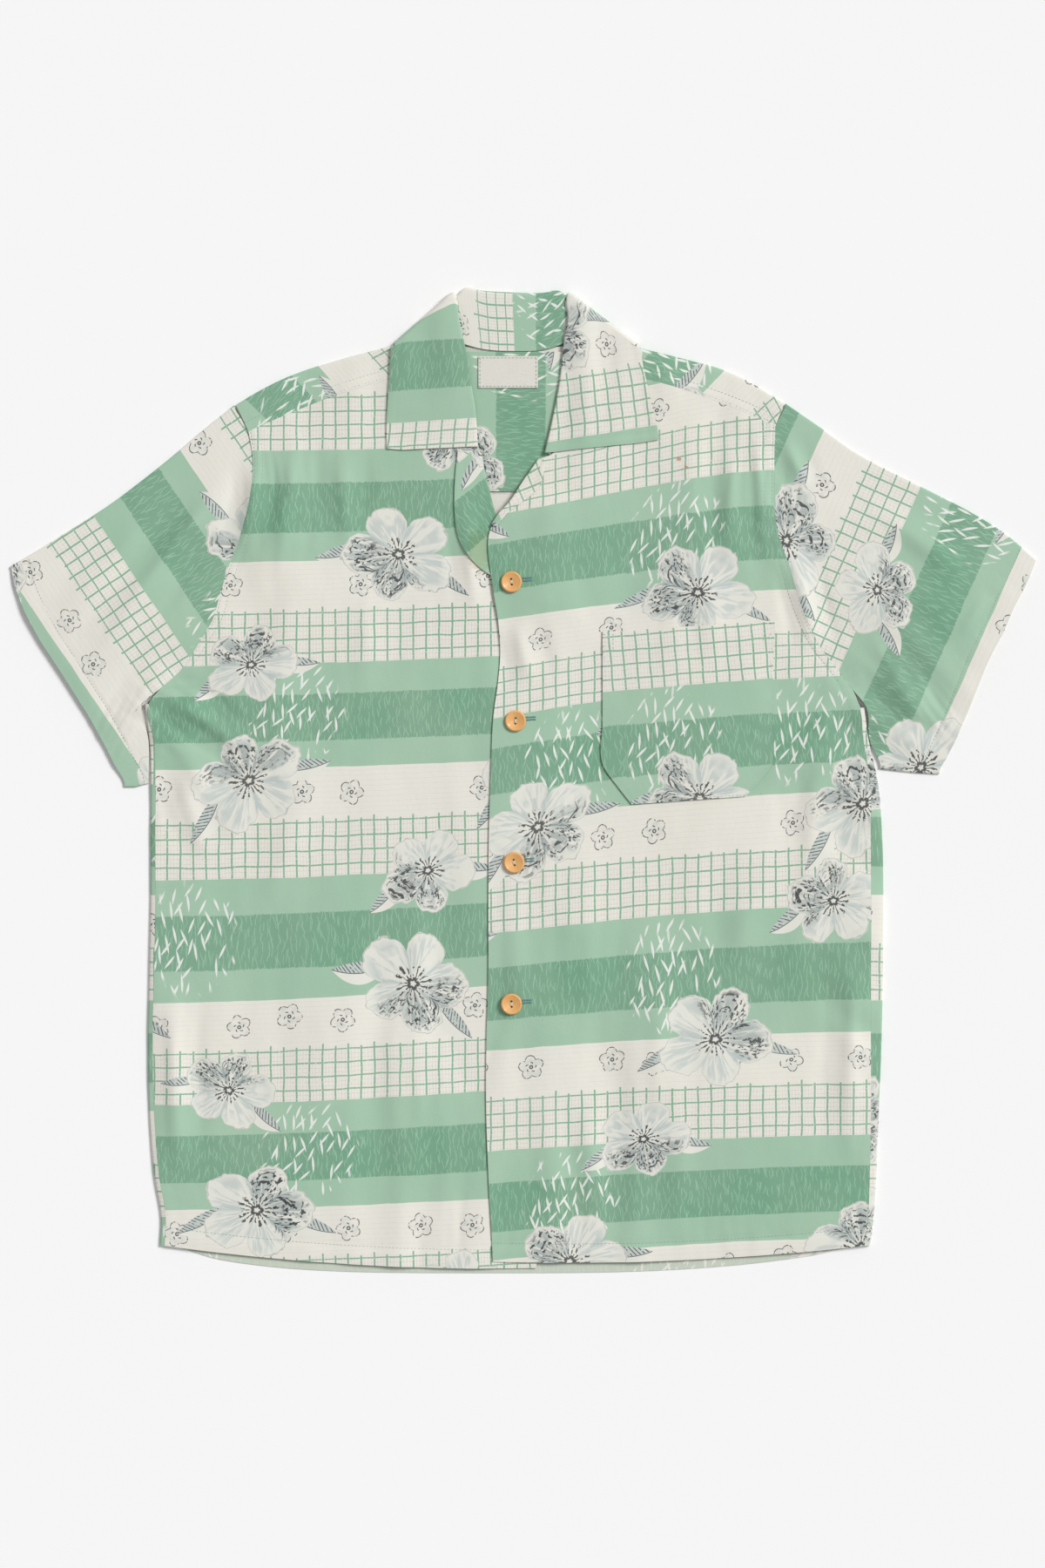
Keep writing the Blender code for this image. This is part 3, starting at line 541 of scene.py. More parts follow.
def spline(points, t):
    """The smooth line through the points at index place t. Uneven steps don't make it swing."""
    i = min(int(t), len(points) - 2)
    f = t - i
    if f == 0:
        return points[i]
    before, a, b = points[max(i - 1, 0)], points[i], points[i + 1]
    after = points[min(i + 2, len(points) - 1)]
    step = math.dist(a[:3], b[:3]) or 1e-6
    step_in = math.dist(before[:3], a[:3])
    step_out = math.dist(b[:3], after[:3])
    h1 = f * f * (2 * f - 3) + 1
    h2 = f * (f - 1) ** 2
    h3 = f * f * (3 - 2 * f)
    h4 = f * f * (f - 1)
    made = []
    for k, (p, q, r, s) in enumerate(zip(before, a, b, after)):
        ahead = (r - q) / step
        behind = (q - p) / step_in if step_in else ahead
        beyond = (s - r) / step_out if step_out else ahead
        slope_in = (behind * step + ahead * step_in) / (step + step_in)
        slope_out = (beyond * step + ahead * step_out) / (step + step_out)
        if k >= 2:
            # Heights don't swing past their neighbours.
            slope_in = held_back(slope_in, behind, ahead)
            slope_out = held_back(slope_out, ahead, beyond)
        made.append(h1 * q + h2 * slope_in * step + h3 * r + h4 * slope_out * step)
    return tuple(made)


# ------------------------------------------------------------------------------- heights


def pile(box, x, y):
    """The height that the layer under a box adds at a point."""
    past_x = max(box["x"][0] - x, x - box["x"][1], 0)
    past_y = max(box["y"][0] - y, y - box["y"][1], 0)
    return (LAYER + LAYER_AIR) * slope(math.hypot(past_x, past_y), box["flat"], box["foot"])


def uneven(x, y, z):
    """Soft noise from -1 to 1."""
    return noise.noise(Vector((x, y, z)))


def hill(t):
    """1 at 0, and falls smoothly to 0 at -1 and 1."""
    return math.cos(math.pi * t / 2) ** 2 if abs(t) < 1 else 0


def soft_folds(x, y):
    """The height that the soft folds add at a point."""
    total = 0
    for _, middle_x, middle_y, heading, half_length, half_width, height in SOFT_FOLDS:
        far, wide = turn(x - middle_x, y - middle_y, math.radians(heading))
        total += height * hill(far / half_length) * hill(wide / half_width)
    return total


def yoke_back_mid(x, y):
    return FLOOR_MID + pile(FALL_PILE, x, y)


def inner_yoke_mid(x, y):
    return yoke_back_mid(x, y) + LAYER + LAYER_AIR


def top_mid(x, y):
    """The middle of the first layer over the back: right front, yoke front and sleeve tops."""
    return TOP_MID + soft_folds(x, y) + pile(FALL_PILE, x, y) + pile(INNER_YOKE_PILE, x, y)


def left_front_mid(x, y):
    return top_mid(x, y) + pile(OVERLAP_PILE, x, y) + pile(BREAK_PILE, x, y)


def leaf_mid(x, y):
    return top_mid(x, y) + LAYER + LAYER_AIR


def crease_height(x, y):
    """What the kept creases add at a point: a ridge each, with a trough beside it."""
    total = 0
    for _, x1, y1, x2, y2, height, half_width in CREASES:
        run_x, run_y = x2 - x1, y2 - y1
        length = math.hypot(run_x, run_y)
        far = ((x - x1) * run_x + (y - y1) * run_y) / length
        if not -2 * half_width < far < length + 2 * half_width:
            continue
        wide = abs((y - y1) * run_x - (x - x1) * run_y) / length
        if wide > 3 * half_width:
            continue
        bend = 0.3 * half_width * uneven(far / 40, x1, y1)
        wide = abs(wide + bend)
        fade = hill(2 * far / length - 1) if 0 < far < length else 0
        ridge = math.exp(-(wide / half_width * 1.6) ** 2)
        trough = math.exp(-((wide / half_width - 1.7) * 1.9) ** 2)
        total += height * fade ** 0.6 * (ridge - CREASE_DEPTH * trough)
    return total


def gathered(x, y):
    """The fine folds that run from a seam."""
    total = 0
    for middle_x, middle_y, heading, reach, height in GATHERS:
        away = math.hypot(x - middle_x, y - middle_y) / reach
        if away >= 1:
            continue
        far, wide = turn(x - middle_x, y - middle_y, math.radians(heading))
        total += height * hill(away) * uneven(wide / 5.2, far / 34, middle_x)
    return total


def wrinkles(x, y):
    """How far the loose top cloth stands over its solid: creases, drapes, ripples and crumple."""
    broad = uneven(x / 62, y / 85, 3.1)
    ripple = uneven(x / 21, y / 34, 7.7)
    crumple = uneven(x / 8.5, y / 10.5, 1.3)
    # The body's drapes hang down it and the sleeves' run along them.
    sleeve = 1 - slope(abs(x), *SLEEVE_BEGINS)
    way_x, way_y = SLEEVE_WAY
    far, wide = abs(x) * way_x - y * way_y, abs(x) * way_y + y * way_x
    drape = mix(uneven(x / 24 + 0.35 * broad, y / 105, 12.4), uneven(wide / 21, far / 80, 15.1),
                sleeve)
    drape *= max(0, 0.6 + 1.4 * uneven(x / 115, y / 140, 6.6))
    lift = LIFT + CREASES_RISE * crease_height(x, y) + BROAD_RISE * broad + DRAPE_RISE * drape
    lift += RIPPLE_RISE * ripple + CRUMPLE_RISE * crumple + gathered(x, y)
    return max(lift, LEAST_LIFT * (1 + crumple))


# ------------------------------------------------------------------------------ cloth pieces


class Piece:
    """A cloth piece: a smooth surface through rows of (x, y, z, looseness) in millimetres.

    Its place is (u, v): u counts columns from the row's first point and v counts rows. sewn
    lists the rows of stitches that run beside an edge: (edge, distance).
    """

    def __init__(self, rows, sewn=()):
        self.rows = rows
        self.sewn = sewn
        self.kept_rows = {}
        self.kept_runs = {}
        self.last = {"left": 0, "right": len(rows[0]) - 1, "low": 0, "high": len(rows) - 1}

    def row(self, v):
        if v not in self.kept_rows:
            self.kept_rows[v] = [spline(column, v) for column in zip(*self.rows)]
        return self.kept_rows[v]

    def run(self, kind, at):
        """Lengths along a row or a column up to each of its points."""
        if (kind, at) not in self.kept_runs:
            line = self.row(at) if kind == "row" else [spline(row, at) for row in self.rows]
            found = [0]
            for a, b in zip(line, line[1:]):
                found.append(found[-1] + math.dist(a[:3], b[:3]))
            self.kept_runs[kind, at] = found
        return self.kept_runs[kind, at]

    def length(self, kind, at, upto):
        run = self.run(kind, at)
        i = min(int(upto), len(run) - 2)
        return mix(run[i], run[i + 1], upto - i)

    def from_edge(self, edge, u, v):
        """How far inside the edge a place is."""
        kind, at, upto = ("row", v, u) if edge in ("left", "right") else ("column", u, v)
        length = self.length(kind, at, upto)
        return length if edge in ("left", "low") else self.run(kind, at)[-1] - length

    def relief(self, u, v):
        """The pillow between an edge and its stitches, the groove under them and their pucker."""
        total = 0
        for edge, distance in self.sewn:
            far = self.from_edge(edge, u, v)
            if far > distance + PUCKER_REACH:
                continue
            upright = edge in ("left", "right")
            line = self.length("column", u, v) if upright else self.length("row", v, u)
            beside = v * 9.1 if upright else u * 13.7
            pull = uneven(line / 3.4, distance, beside / 90)
            total -= GROOVE_DEPTH * math.exp(-((far - distance) / GROOVE_HALF_WIDTH) ** 2)
            if far < distance:
                total += PILLOW_HEIGHT * hill((2 * far - distance) / distance)
            total += PUCKER_HEIGHT * pull * math.exp(-abs(far - distance) / 5)
        return total

    def at(self, u, v):
        x, y, z, loose = spline(self.row(v), u)
        if loose > 0.001:
            z += loose * (wrinkles(x, y) + self.relief(u, v))
        return Vector((x, y, z))

    def inside(self, edge, distance, start=0.0, end=1.0, step=3.0):
        """Points on the surface at a distance inside an edge, from one share of it to another."""
        level = edge in ("low", "high")
        last = len(self.rows[0]) - 1 if level else len(self.rows) - 1
        kind = "column" if level else "row"
        total = self.run("row" if level else "column", self.last[edge])[-1]
        count = max(2, int(total * abs(end - start) / step))
        points = []
        for i in range(count + 1):
            place = mix(start, end, i / count) * last
            run = self.run(kind, place)
            far = distance if edge in ("left", "low") else run[-1] - distance
            k = next((k for k in range(len(run) - 2) if run[k + 1] >= far), len(run) - 2)
            upto = k + (far - run[k]) / ((run[k + 1] - run[k]) or 1)
            points.append(self.at(place, upto) if level else self.at(upto, place))
        return points

    def stations(self, kind, spacing):
        """Places along the rows or columns at about the spacing."""
        lines = self.rows if kind == "u" else list(zip(*self.rows))
        places = []
        for i in range(len(lines[0]) - 1):
            longest = max(math.dist(line[i][:3], line[i + 1][:3]) for line in lines)
            steps = max(2 if longest < 2 * spacing else 1, round(longest / spacing))
            places += [i + step / steps for step in range(steps)]
        return places + [len(lines[0]) - 1]


def add_grid(mesh, us, vs, place, printed, slot=0):
    """Adds a grid of cloth to a bmesh: place gives a corner's point, printed its print place."""
    layer = mesh.loops.layers.uv.verify()
    made = bmesh.ops.create_grid(mesh, x_segments=len(us) - 1, y_segments=len(vs) - 1, size=0.5)
    spots = {}
    for vert in made["verts"]:
        u = us[round((vert.co.x + 0.5) * (len(us) - 1))]
        v = vs[round((vert.co.y + 0.5) * (len(vs) - 1))]
        point = place(u, v)
        spots[vert] = Vector(printed(point, u, v)) * MM
        vert.co = point * MM
    faces = {face for vert in made["verts"] for face in vert.link_faces}
    for face in faces:
        face.material_index = slot
        for loop in face.loops:
            loop[layer].uv = spots[loop.vert]


def cloth_grid(piece, spacing, printed):
    """A bmesh of a whole piece."""
    mesh = bmesh.new()
    add_grid(mesh, piece.stations("u", spacing), piece.stations("v", spacing), piece.at, printed)
    return mesh


def linked(name, data, materials=()):
    """A new object in the scene, from its data."""
    made = bpy.data.objects.new(name, data)
    bpy.context.scene.collection.objects.link(made)
    for material in materials:
        data.materials.append(material)
    return made


def from_bmesh(name, mesh, materials=()):
    """A new object in the scene, from a bmesh that isn't needed after it."""
    data = bpy.data.meshes.new(name)
    mesh.to_mesh(data)
    mesh.free()
    return linked(name, data, materials)


def finish_cloth(name, mesh, materials, wall, node, flipped=False):
    """Makes the bmesh an object with a wall and a slot, and puts it in its node's place."""
    if flipped:
        bmesh.ops.reverse_faces(mesh, faces=mesh.faces)
    for face in mesh.faces:
        face.smooth = True
    for edge in mesh.edges:
        edge.smooth = not edge.is_boundary
    piece = from_bmesh(name, mesh, materials)
    shell = piece.modifiers.new("wall", "SOLIDIFY")
    shell.thickness = wall * MM
    shell.offset = 0
    shell.use_quality_normals = True
    shell.material_offset = 1 if len(materials) > 1 else 0
    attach(piece, "root")
    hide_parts(node)
    return piece


def straight_print(name):
    """Where on the print a point of a piece with straight stripes is, by its x and y."""
    lie = STRAIGHT[name]
    angle = math.radians(lie["way"])
    way = Vector((math.cos(angle), math.sin(angle)))
    side = Vector((-way.y, way.x))

    def printed(point, u, v):
        flat = Vector(point[:2])
        down = lie["down"] + (flat.dot(way) - lie["start"]) * lie["stretch"]
        return flat.dot(side), -down

    return printed


def across(side, centre, rise, columns):
    """Points from the side to the centre, with the rise in the middle."""
    points = []
    for i in range(columns + 1):
        t = i / columns
        x, y = mix_points(side, centre, t)
        points.append((x, y + rise * 4 * t * (1 - t)))
    return points


def front_edge(side, armhole):
    return [(x, y) for _, x, y, _ in side] + list(armhole)


def front_rows(side, armhole, centre, height):
    rows = []
    for edge, (_, x, y, rise, _, _) in zip(front_edge(side, armhole), centre, strict=True):
        rows.append([(*p, height(*p), 1) for p in across(edge, (x, y), rise, COLUMNS)])
    return rows


def lapel_rows(centre, height):
    """The first and last row that have a lapel, and the lapel's rows from the roll outwards."""
    first = next(i for i, row in enumerate(centre) if row[4] is not None)
    rows = []
    for _, x, y, _, lapel_x, lapel_y in centre:
        if lapel_x is None:
            continue
        edge = (x, y, height(x, y), 1)
        turned = []
        for i in range(LAPEL_COLUMNS + 1):
            point = mix_points((x, y), (lapel_x, lapel_y), i / LAPEL_COLUMNS)
            turned.append((*point, height(*point) + LAYER + 0.3 * (i / LAPEL_COLUMNS), 1))
        rows.append([edge, *folded(edge, turned[0], (x - lapel_x, y - lapel_y)), *turned])
    return first, first + len(rows) - 1, rows


def stripes_print(stripes):
    """The print's place on a front, from the heights of the stripes' edges."""
    downs = [(CHECK_END, CREAM_START)[k % 2] + k // 2 * REPEAT for k in range(len(stripes))]

    def printed(point, u, v):
        share = (u / COLUMNS) ** STRIPE_BEND
        heights = [mix(side_y, centre_y, share) for centre_y, side_y in stripes]
        y = point[1]
        if y >= heights[0]:
            down = downs[0] - (y - heights[0])
        elif y <= heights[-1]:
            down = downs[-1] + (heights[-1] - y)
        else:
            k = next(k for k in range(len(heights) - 1) if y >= heights[k + 1])
            down = mix(downs[k], downs[k + 1], (heights[k] - y) / (heights[k] - heights[k + 1]))
        return point[0], -down

    return printed


def shoulder_seam(armhole, centre):
    _, x, y, rise, _, _ = centre[-1]
    return across(armhole[-1], (x, y), rise, STRAP_COLUMNS)


def strap(shoulder, seam):
    """A strap's columns over the shoulder, with the fold's point that each one starts at."""
    columns = []
    for i, seam_point in enumerate(seam):
        fold_point = along(shoulder, i / STRAP_COLUMNS)
        low = (*fold_point, yoke_back_mid(*fold_point), 0)
        high = (*fold_point, top_mid(*fold_point), 0.2)
        out = (fold_point[0] - seam_point[0], fold_point[1] - seam_point[1])
        ahead = [(mix_points(fold_point, seam_point, t), mix(0.2, 1, t)) for t in (0.33, 0.66, 1)]
        columns.append((fold_point, folded(low, high, out) + [high]
                        + [(*p, top_mid(*p), loose) for p, loose in ahead]))
    return columns


def yoke_parts():
    """The yoke's back rows with both straps' columns."""
    right_seam = aside(shoulder_seam(RIGHT_ARMHOLE, RIGHT_CENTRE), SEAM_GAP)
    left_seam = aside(shoulder_seam(LEFT_ARMHOLE, LEFT_CENTRE), -SEAM_GAP)
    right = strap(RIGHT_SHOULDER, right_seam)
    left = strap(LEFT_SHOULDER, left_seam)[::-1]
    neck_steps = 2 * (len(BACK_NECK) - 1)
    neck = [along(BACK_NECK, i / neck_steps) for i in range(1, neck_steps)]
    tops = [top for top, _ in right] + neck + [top for top, _ in left]
    ends = (RIGHT_BACK_ARMHOLE[-1][0], LEFT_BACK_ARMHOLE[-1][0])
    columns = []
    for share, top in zip(shares(tops), tops):
        bottom = (mix(*ends, share), YOKE_SEAM_Y + SEAM_GAP)
        up = [mix_points(bottom, top, t) for t in YOKE_SHARES]
        columns.append([(*p, yoke_back_mid(*p), 0) for p in up])
    return columns, [over for _, over in right], [over for _, over in left]


def back_rows():
    """The back below the armpits, and round both sides to the fronts' edges."""
    rows = []
    for i, (right, left) in enumerate(zip(RIGHT_SIDE, LEFT_SIDE, strict=True)):
        _, right_x, right_y, right_fold = right
        _, left_x, left_y, left_fold = left
        drop = HEM_DROP[i] if i < len(HEM_DROP) else 0
        low = []
        for j in range(BACK_COLUMNS + 1):
            t = j / BACK_COLUMNS
            x, y = mix_points((right_fold, right_y), (left_fold, left_y), t)
            squareness = HEM_SQUARENESS["right" if t < 0.5 else "left"]
            low.append((x, y + drop * (1 - abs(2 * t - 1) ** squareness), FLOOR_MID, 0))
        right_top = (right_fold, right_y, top_mid(right_fold, right_y), 0.5)
        left_top = (left_fold, left_y, top_mid(left_fold, left_y), 0.5)
        right_edge = (right_x - SEAM_GAP, right_y, top_mid(right_x, right_y), 1)
        left_edge = (left_x + SEAM_GAP, left_y, top_mid(left_x, left_y), 1)
        row = [right_edge, right_top] + folded(low[0], right_top, (-1, 0))[::-1] + low
        row += folded(low[-1], left_top, (1, 0)) + [left_top, left_edge]
        rows.append(row)
    return rows


def back_top_rows():
    """The back between the armholes, from the armpits to the yoke seam."""
    right = [(RIGHT_SIDE[-1][3], RIGHT_SIDE[-1][2]), *RIGHT_BACK_ARMHOLE]
    left = [(LEFT_SIDE[-1][3], LEFT_SIDE[-1][2]), *LEFT_BACK_ARMHOLE]
    return [[(*mix_points(a, b, j / BACK_COLUMNS), FLOOR_MID, 0) for j in range(BACK_COLUMNS + 1)]
            for a, b in zip(right, left, strict=True)]


def body_side(side, away):
    """The outside of the body's folded side below the armpit, as far as a sleeve covers it."""
    names = ("armpit", "bust", "low bust")
    reach = (TOP_MID - FLOOR_MID) / 2 + WALL / 2 + GAP + FACET_EASE
    rows = {row[0]: row for row in side}
    return [(rows[name][3] + away * reach, rows[name][2]) for name in names]


def sleeve_rows(sizes, side, armhole, back_armhole, away):
    """A sleeve as a flattened ring, from the cuff to the armhole seam."""
    ends = body_side(side, away)
    ends[0] = (ends[0][0] + away * ARMPIT_EASE[0], ends[0][1] + ARMPIT_EASE[1])
    ends[-1] = sizes["low"][-1]
    shoulder = sizes["top"][-1]

    def seam(points):
        # The strap's end is straight, so the seam gets a point of its own there.
        middle = mix_points(shoulder, points[-1], 0.5)
        return [shoulder, *aside([shoulder, middle, *points[::-1]], away * SEAM_GAP)[1:], *ends]

    top_edge, low_edge = seam(armhole), seam(back_armhole)

    def layer(edge, height, loose, row):
        v = row / SLEEVE_ROWS
        top, low = along(sizes["top"], v), along(sizes["low"], v)
        points = []
        for u, held in zip(shares(edge), edge):
            cuff = along(sizes["cuff"], u)
            flat = mix_points(mix_points(sizes["cuff"][0], sizes["cuff"][-1], u),
                              mix_points(shoulder, sizes["low"][-1], u), v)
            x, y = (mix(cuff[k], held[k], v) + mix(top[k], low[k], u) - flat[k] for k in (0, 1))
            share = loose * min(1, 5 * u, 5 * (1 - u)) if loose else 0
            points.append((x, y, height(x, y), share))
        return points

    rows = []
    for row in range(SLEEVE_ROWS + 1):
        upper = layer(top_edge, top_mid, 1, row)
        lower = layer(low_edge, lambda x, y: FLOOR_MID, 0, row)
        v = row / SLEEVE_ROWS
        cuff_way = Vector(sizes["cuff"][0]) - Vector(sizes["cuff"][-1])
        out_top = cuff_way.normalized() * (1 - v) + Vector((0, 1)) * v
        around = folded(lower[0], upper[0], out_top) + upper
        around += folded(upper[-1], lower[-1], (0, -1)) + lower[::-1]
        rows.append([*around, around[0]])
    return rows


def neck_seam(centre, shoulder, away):
    """The seam that a leaf of the collar stands on, from the notch to the shoulder."""
    points = [(x, y) for name, x, y, *_ in centre if name in ("notch", "neck 1", "neck 2")]
    return aside([*points, shoulder[-1]], away * NECK_GAP)


def section(neck, stand_roll, fall_roll, outer, out, looseness=None):
    """A row of the collar's band: up the stand, round the roll and down the fall."""
    stand = [mix_points(neck, stand_roll, i / STAND_COLUMNS) for i in range(STAND_COLUMNS + 1)]
    fall = [mix_points(fall_roll, outer, i / FALL_COLUMNS) for i in range(FALL_COLUMNS + 1)]
    if looseness is None:
        stand = [(*p, top_mid(*p), 1) for p in stand]
        fall = [(*p, leaf_mid(*p), 1) for p in fall]
    else:
        stand = [(*p, looseness) for p in stand]
        fall = [(*p, looseness) for p in fall]
    return stand + folded(stand[-1], fall[0], out) + fall


def leaf_rows(leaf, seam, away):
    """The rows of a leaf, which lies on the front."""
    rows = []
    for i, (roll_x, roll_y, outer_x, outer_y) in enumerate(leaf):
        neck, roll = along(seam, i / len(leaf)), (roll_x, roll_y)
        rows.append(section(neck, roll, roll, (outer_x, outer_y), (-away, 0)))
    return rows


def turn_rows(place, away):
    """The rows where the band turns from a leaf to the back of the neck."""
    way = Vector(place["roll"]) - Vector(place["outer"])
    way.normalize()
    outward = Vector((away * abs(way.y), abs(way.x)))
    fall_ends = (leaf_mid(*place["outer"]) + TURN_RISE, FLOOR_MID)
    stand_ends = (top_mid(*place["neck"]), inner_yoke_mid(*place["neck"]))
    fall_radius = (fall_ends[0] - fall_ends[1]) / 2
    stand_radius = (stand_ends[0] - stand_ends[1]) / 2
    rows = []
    for step in range(TURN_STEPS + 1):
        angle = math.pi * step / TURN_STEPS
        down = (1 - math.cos(angle)) / 2
        fall_shift = outward * fall_radius * (math.sin(angle) - 1)
        stand_shift = outward * (stand_radius * math.sin(angle) - LAYER - fall_radius)
        fall_z, stand_z = mix(*fall_ends, down), mix(*stand_ends, down)
        stand = [(*(Vector(place[end]) + stand_shift), stand_z) for end in ("neck", "roll")]
        fall = [(*(Vector(place[end]) + fall_shift), fall_z) for end in ("roll", "outer")]
        rows.append(section(*stand, *fall, way, looseness=max(0, 1 - 2 * down)))
    return rows


def collar_rows():
    """The collar's band, row by row from the right leaf's end to the left one."""
    right = neck_seam(RIGHT_CENTRE, RIGHT_SHOULDER, -1)
    left = neck_seam(LEFT_CENTRE, LEFT_SHOULDER, 1)
    rows = leaf_rows(RIGHT_LEAF, right, -1) + turn_rows(RIGHT_TURN, -1)
    for neck_x, neck_y, roll_x, roll_y, outer_x, outer_y in BACK_OF_COLLAR:
        stand_mid = inner_yoke_mid(neck_x, neck_y)
        rows.append(section((neck_x, neck_y, stand_mid), (roll_x, roll_y, stand_mid + ROLL_RISE),
                            (roll_x, roll_y, FLOOR_MID), (outer_x, outer_y, FLOOR_MID), (0, 1),
                            looseness=0))
    rows += (leaf_rows(LEFT_LEAF, left, 1) + turn_rows(LEFT_TURN, 1))[::-1]
    for end, inner in ((0, 1), (-1, -2)):
        # The leaves' points are turned out round.
        corner, beside, above = rows[end][-1], rows[end][-2], rows[inner][-1]
        rows[end][-1] = mix_points(corner, mix_points(beside, above, 0.5), LEAF_ROUND)
    return rows


def pocket_rows():
    rows = []
    for left_x, left_y, right_x, right_y in POCKET:
        points = [mix_points((left_x, left_y), (right_x, right_y), i / POCKET_COLUMNS)
                  for i in range(POCKET_COLUMNS + 1)]
        rows.append([(*p, left_front_mid(*p) + LAYER + LAYER_AIR, 1) for p in points])
    return rows[::-1]


# ------------------------------------------------------------------------------ shader graphs


class Wire:
    """A socket's value in a shader graph. Python's operators on it add the Math nodes."""

    def __init__(self, graph, socket):
        self.graph = graph
        self.socket = socket

    def math(self, operation, *others, clamp=False):
        return self.graph.add("ShaderNodeMath", {"operation": operation, "use_clamp": clamp},
                              [self, *others])

    def __add__(self, other):
        return self.math("ADD", other)

    def __mul__(self, other):
        return self.math("MULTIPLY", other)

    def __sub__(self, other):
        return self.math("SUBTRACT", other)

    def __rsub__(self, other):
        return self.graph.add("ShaderNodeMath", {"operation": "SUBTRACT"}, [other, self])

    def __truediv__(self, other):
        return self.math("DIVIDE", other)

    def __mod__(self, other):
        return self.math("FLOORED_MODULO", other)

    def __or__(self, other):
        return self.math("MAXIMUM", other)

    def __and__(self, other):
        return self.math("MINIMUM", other)

    def __abs__(self):
        return self.math("ABSOLUTE")

    __radd__ = __add__
    __rmul__ = __mul__

    def floor(self):
        return self.math("FLOOR")

    def past(self, place, soft):
        """0 below the place and 1 above it, with a soft step as wide as soft."""
        return self.math("MULTIPLY_ADD", 1 / soft, 0.5 - place / soft, clamp=True)

    def between(self, low, high, soft):
        return self.past(low, soft) - self.past(high, soft)

    def near(self, width, soft):
        """1 where the value is closer to 0 than width."""
        return 1 - abs(self).past(width, soft)


class Graph:
    """A material's shader graph."""

    def __init__(self, name):
        self.material = bpy.data.materials.new(name)
        self.material.use_nodes = True
        self.tree = self.material.node_tree
        self.shader = self.tree.nodes["Principled BSDF"]

    def add(self, kind, settings=None, inputs=(), output=0):
        """Adds a node, sets it, fills its sockets with values or wires and returns an output."""
        node = self.tree.nodes.new(kind)
        for key, value in (settings or {}).items():
            setattr(node, key, value)
        for key, value in inputs.items() if isinstance(inputs, dict) else enumerate(inputs):
            self.fill(node.inputs[key], value)
        return Wire(self, node.outputs[output])

    def fill(self, socket, value):
        if isinstance(value, Wire):
            self.tree.links.new(value.socket, socket)
        else:
            socket.default_value = value

    def set(self, **values):
        """Fills the shader's own sockets. Their names have _ in the place of spaces."""
        for name, value in values.items():
            self.fill(self.shader.inputs[name.replace("_", " ")], value)

    def uv(self):
        """The place on the print in millimetres."""
        return self.stretch(self.add("ShaderNodeTexCoord", output="UV"), 1 / MM)

    def here(self):
        """The place in the frame in millimetres."""
        return self.stretch(self.add("ShaderNodeTexCoord", output="Object"), 1 / MM)

    def stretch(self, vector, x, y=None):
        """The vector times x, or times x and y with its z kept."""
        size = (x, x, x) if y is None else (x, y, 1)
        return self.add("ShaderNodeVectorMath", {"operation": "MULTIPLY"}, [vector, size])

    def shift(self, vector, by):
        return self.add("ShaderNodeVectorMath", {"operation": "ADD"}, [vector, by])

    def split(self, vector):
        """The x and y of a vector."""
        x = self.add("ShaderNodeSeparateXYZ", inputs=[vector], output="X")
        return x, Wire(self, x.socket.node.outputs["Y"])

    def join(self, x, y, z=0.0):
        return self.add("ShaderNodeCombineXYZ", inputs=[x, y, z])

    def noise(self, vector, scale, detail=1.0, roughness=0.5):
        inputs = {"Vector": vector, "Scale": scale, "Detail": detail, "Roughness": roughness}
        return self.add("ShaderNodeTexNoise", {"noise_dimensions": "3D"}, inputs)

    def chance(self, vector):
        """A number from 0 to 1 for each different vector."""
        return self.add("ShaderNodeTexWhiteNoise", {"noise_dimensions": "3D"}, {"Vector": vector})

    def mix(self, share, a, b, how="MIX"):
        settings = {"data_type": "RGBA", "blend_type": how}
        return self.add("ShaderNodeMix", settings, {0: share, 6: a, 7: b}, output=2)

    def bump(self, height, distance, strength=1.0, normal=None):
        inputs = {"Height": height, "Distance": distance, "Strength": strength}
        if normal is not None:
            inputs["Normal"] = normal
        return self.add("ShaderNodeBump", inputs=inputs)


# ------------------------------------------------------------------------------ the print

# Tints that age and random light and dark places give, and a painted highlight for the buttons'
# raised rims.
AGED_CLOTH = (0.80, 0.72, 0.55, 1)
TAPE_SHADE = (0.62, 0.54, 0.40, 1)
TAPE_RIB = (0.55, 0.48, 0.38, 1)
WOOD_PALE = (0.93, 0.63, 0.30, 1)
WOOD_PORE = (0.30, 0.13, 0.04, 1)
# Painted highlight: the colour that lightens each button's raised rim as if light caught it.
PAINTED_RIM_HIGHLIGHT = (1.0, 0.74, 0.36, 1)
FLOOR_SHADE = (0.80, 0.80, 0.80, 1)


def cell_place(graph, u, v, width, height, phase_u, phase_v, jitter):
    """The place inside the cells of a half-drop lattice, and a number for each cell."""
    row = ((v + phase_v) / height).floor()
    drop = (row % 2) * (width / 2)
    column = ((u + drop + phase_u) / width).floor()
    luck = graph.chance(graph.join(column, row, phase_u))
    luck_2 = graph.chance(graph.join(row, column, phase_u + 5))
    x = (u + drop + phase_u) % width - width / 2 + (luck - 0.5) * jitter[0]
    y = (v + phase_v) % height - height / 2 + (luck_2 - 0.5) * jitter[1]
    return x, y, luck, luck_2


def leaf_shape(x, y, centre, angle, half_length, half_width):
    """A pointed leaf's mask and its own place, from a place beside it."""
    lx, ly = turn(x - centre[0], y - centre[1], angle)
    bend = ly - lx * lx * (0.18 / half_length)
    belly = 1 - (lx / half_length).math("POWER", 2)
    inside = (belly * half_width - abs(bend)).past(0, 0.3)
    return inside, lx, bend


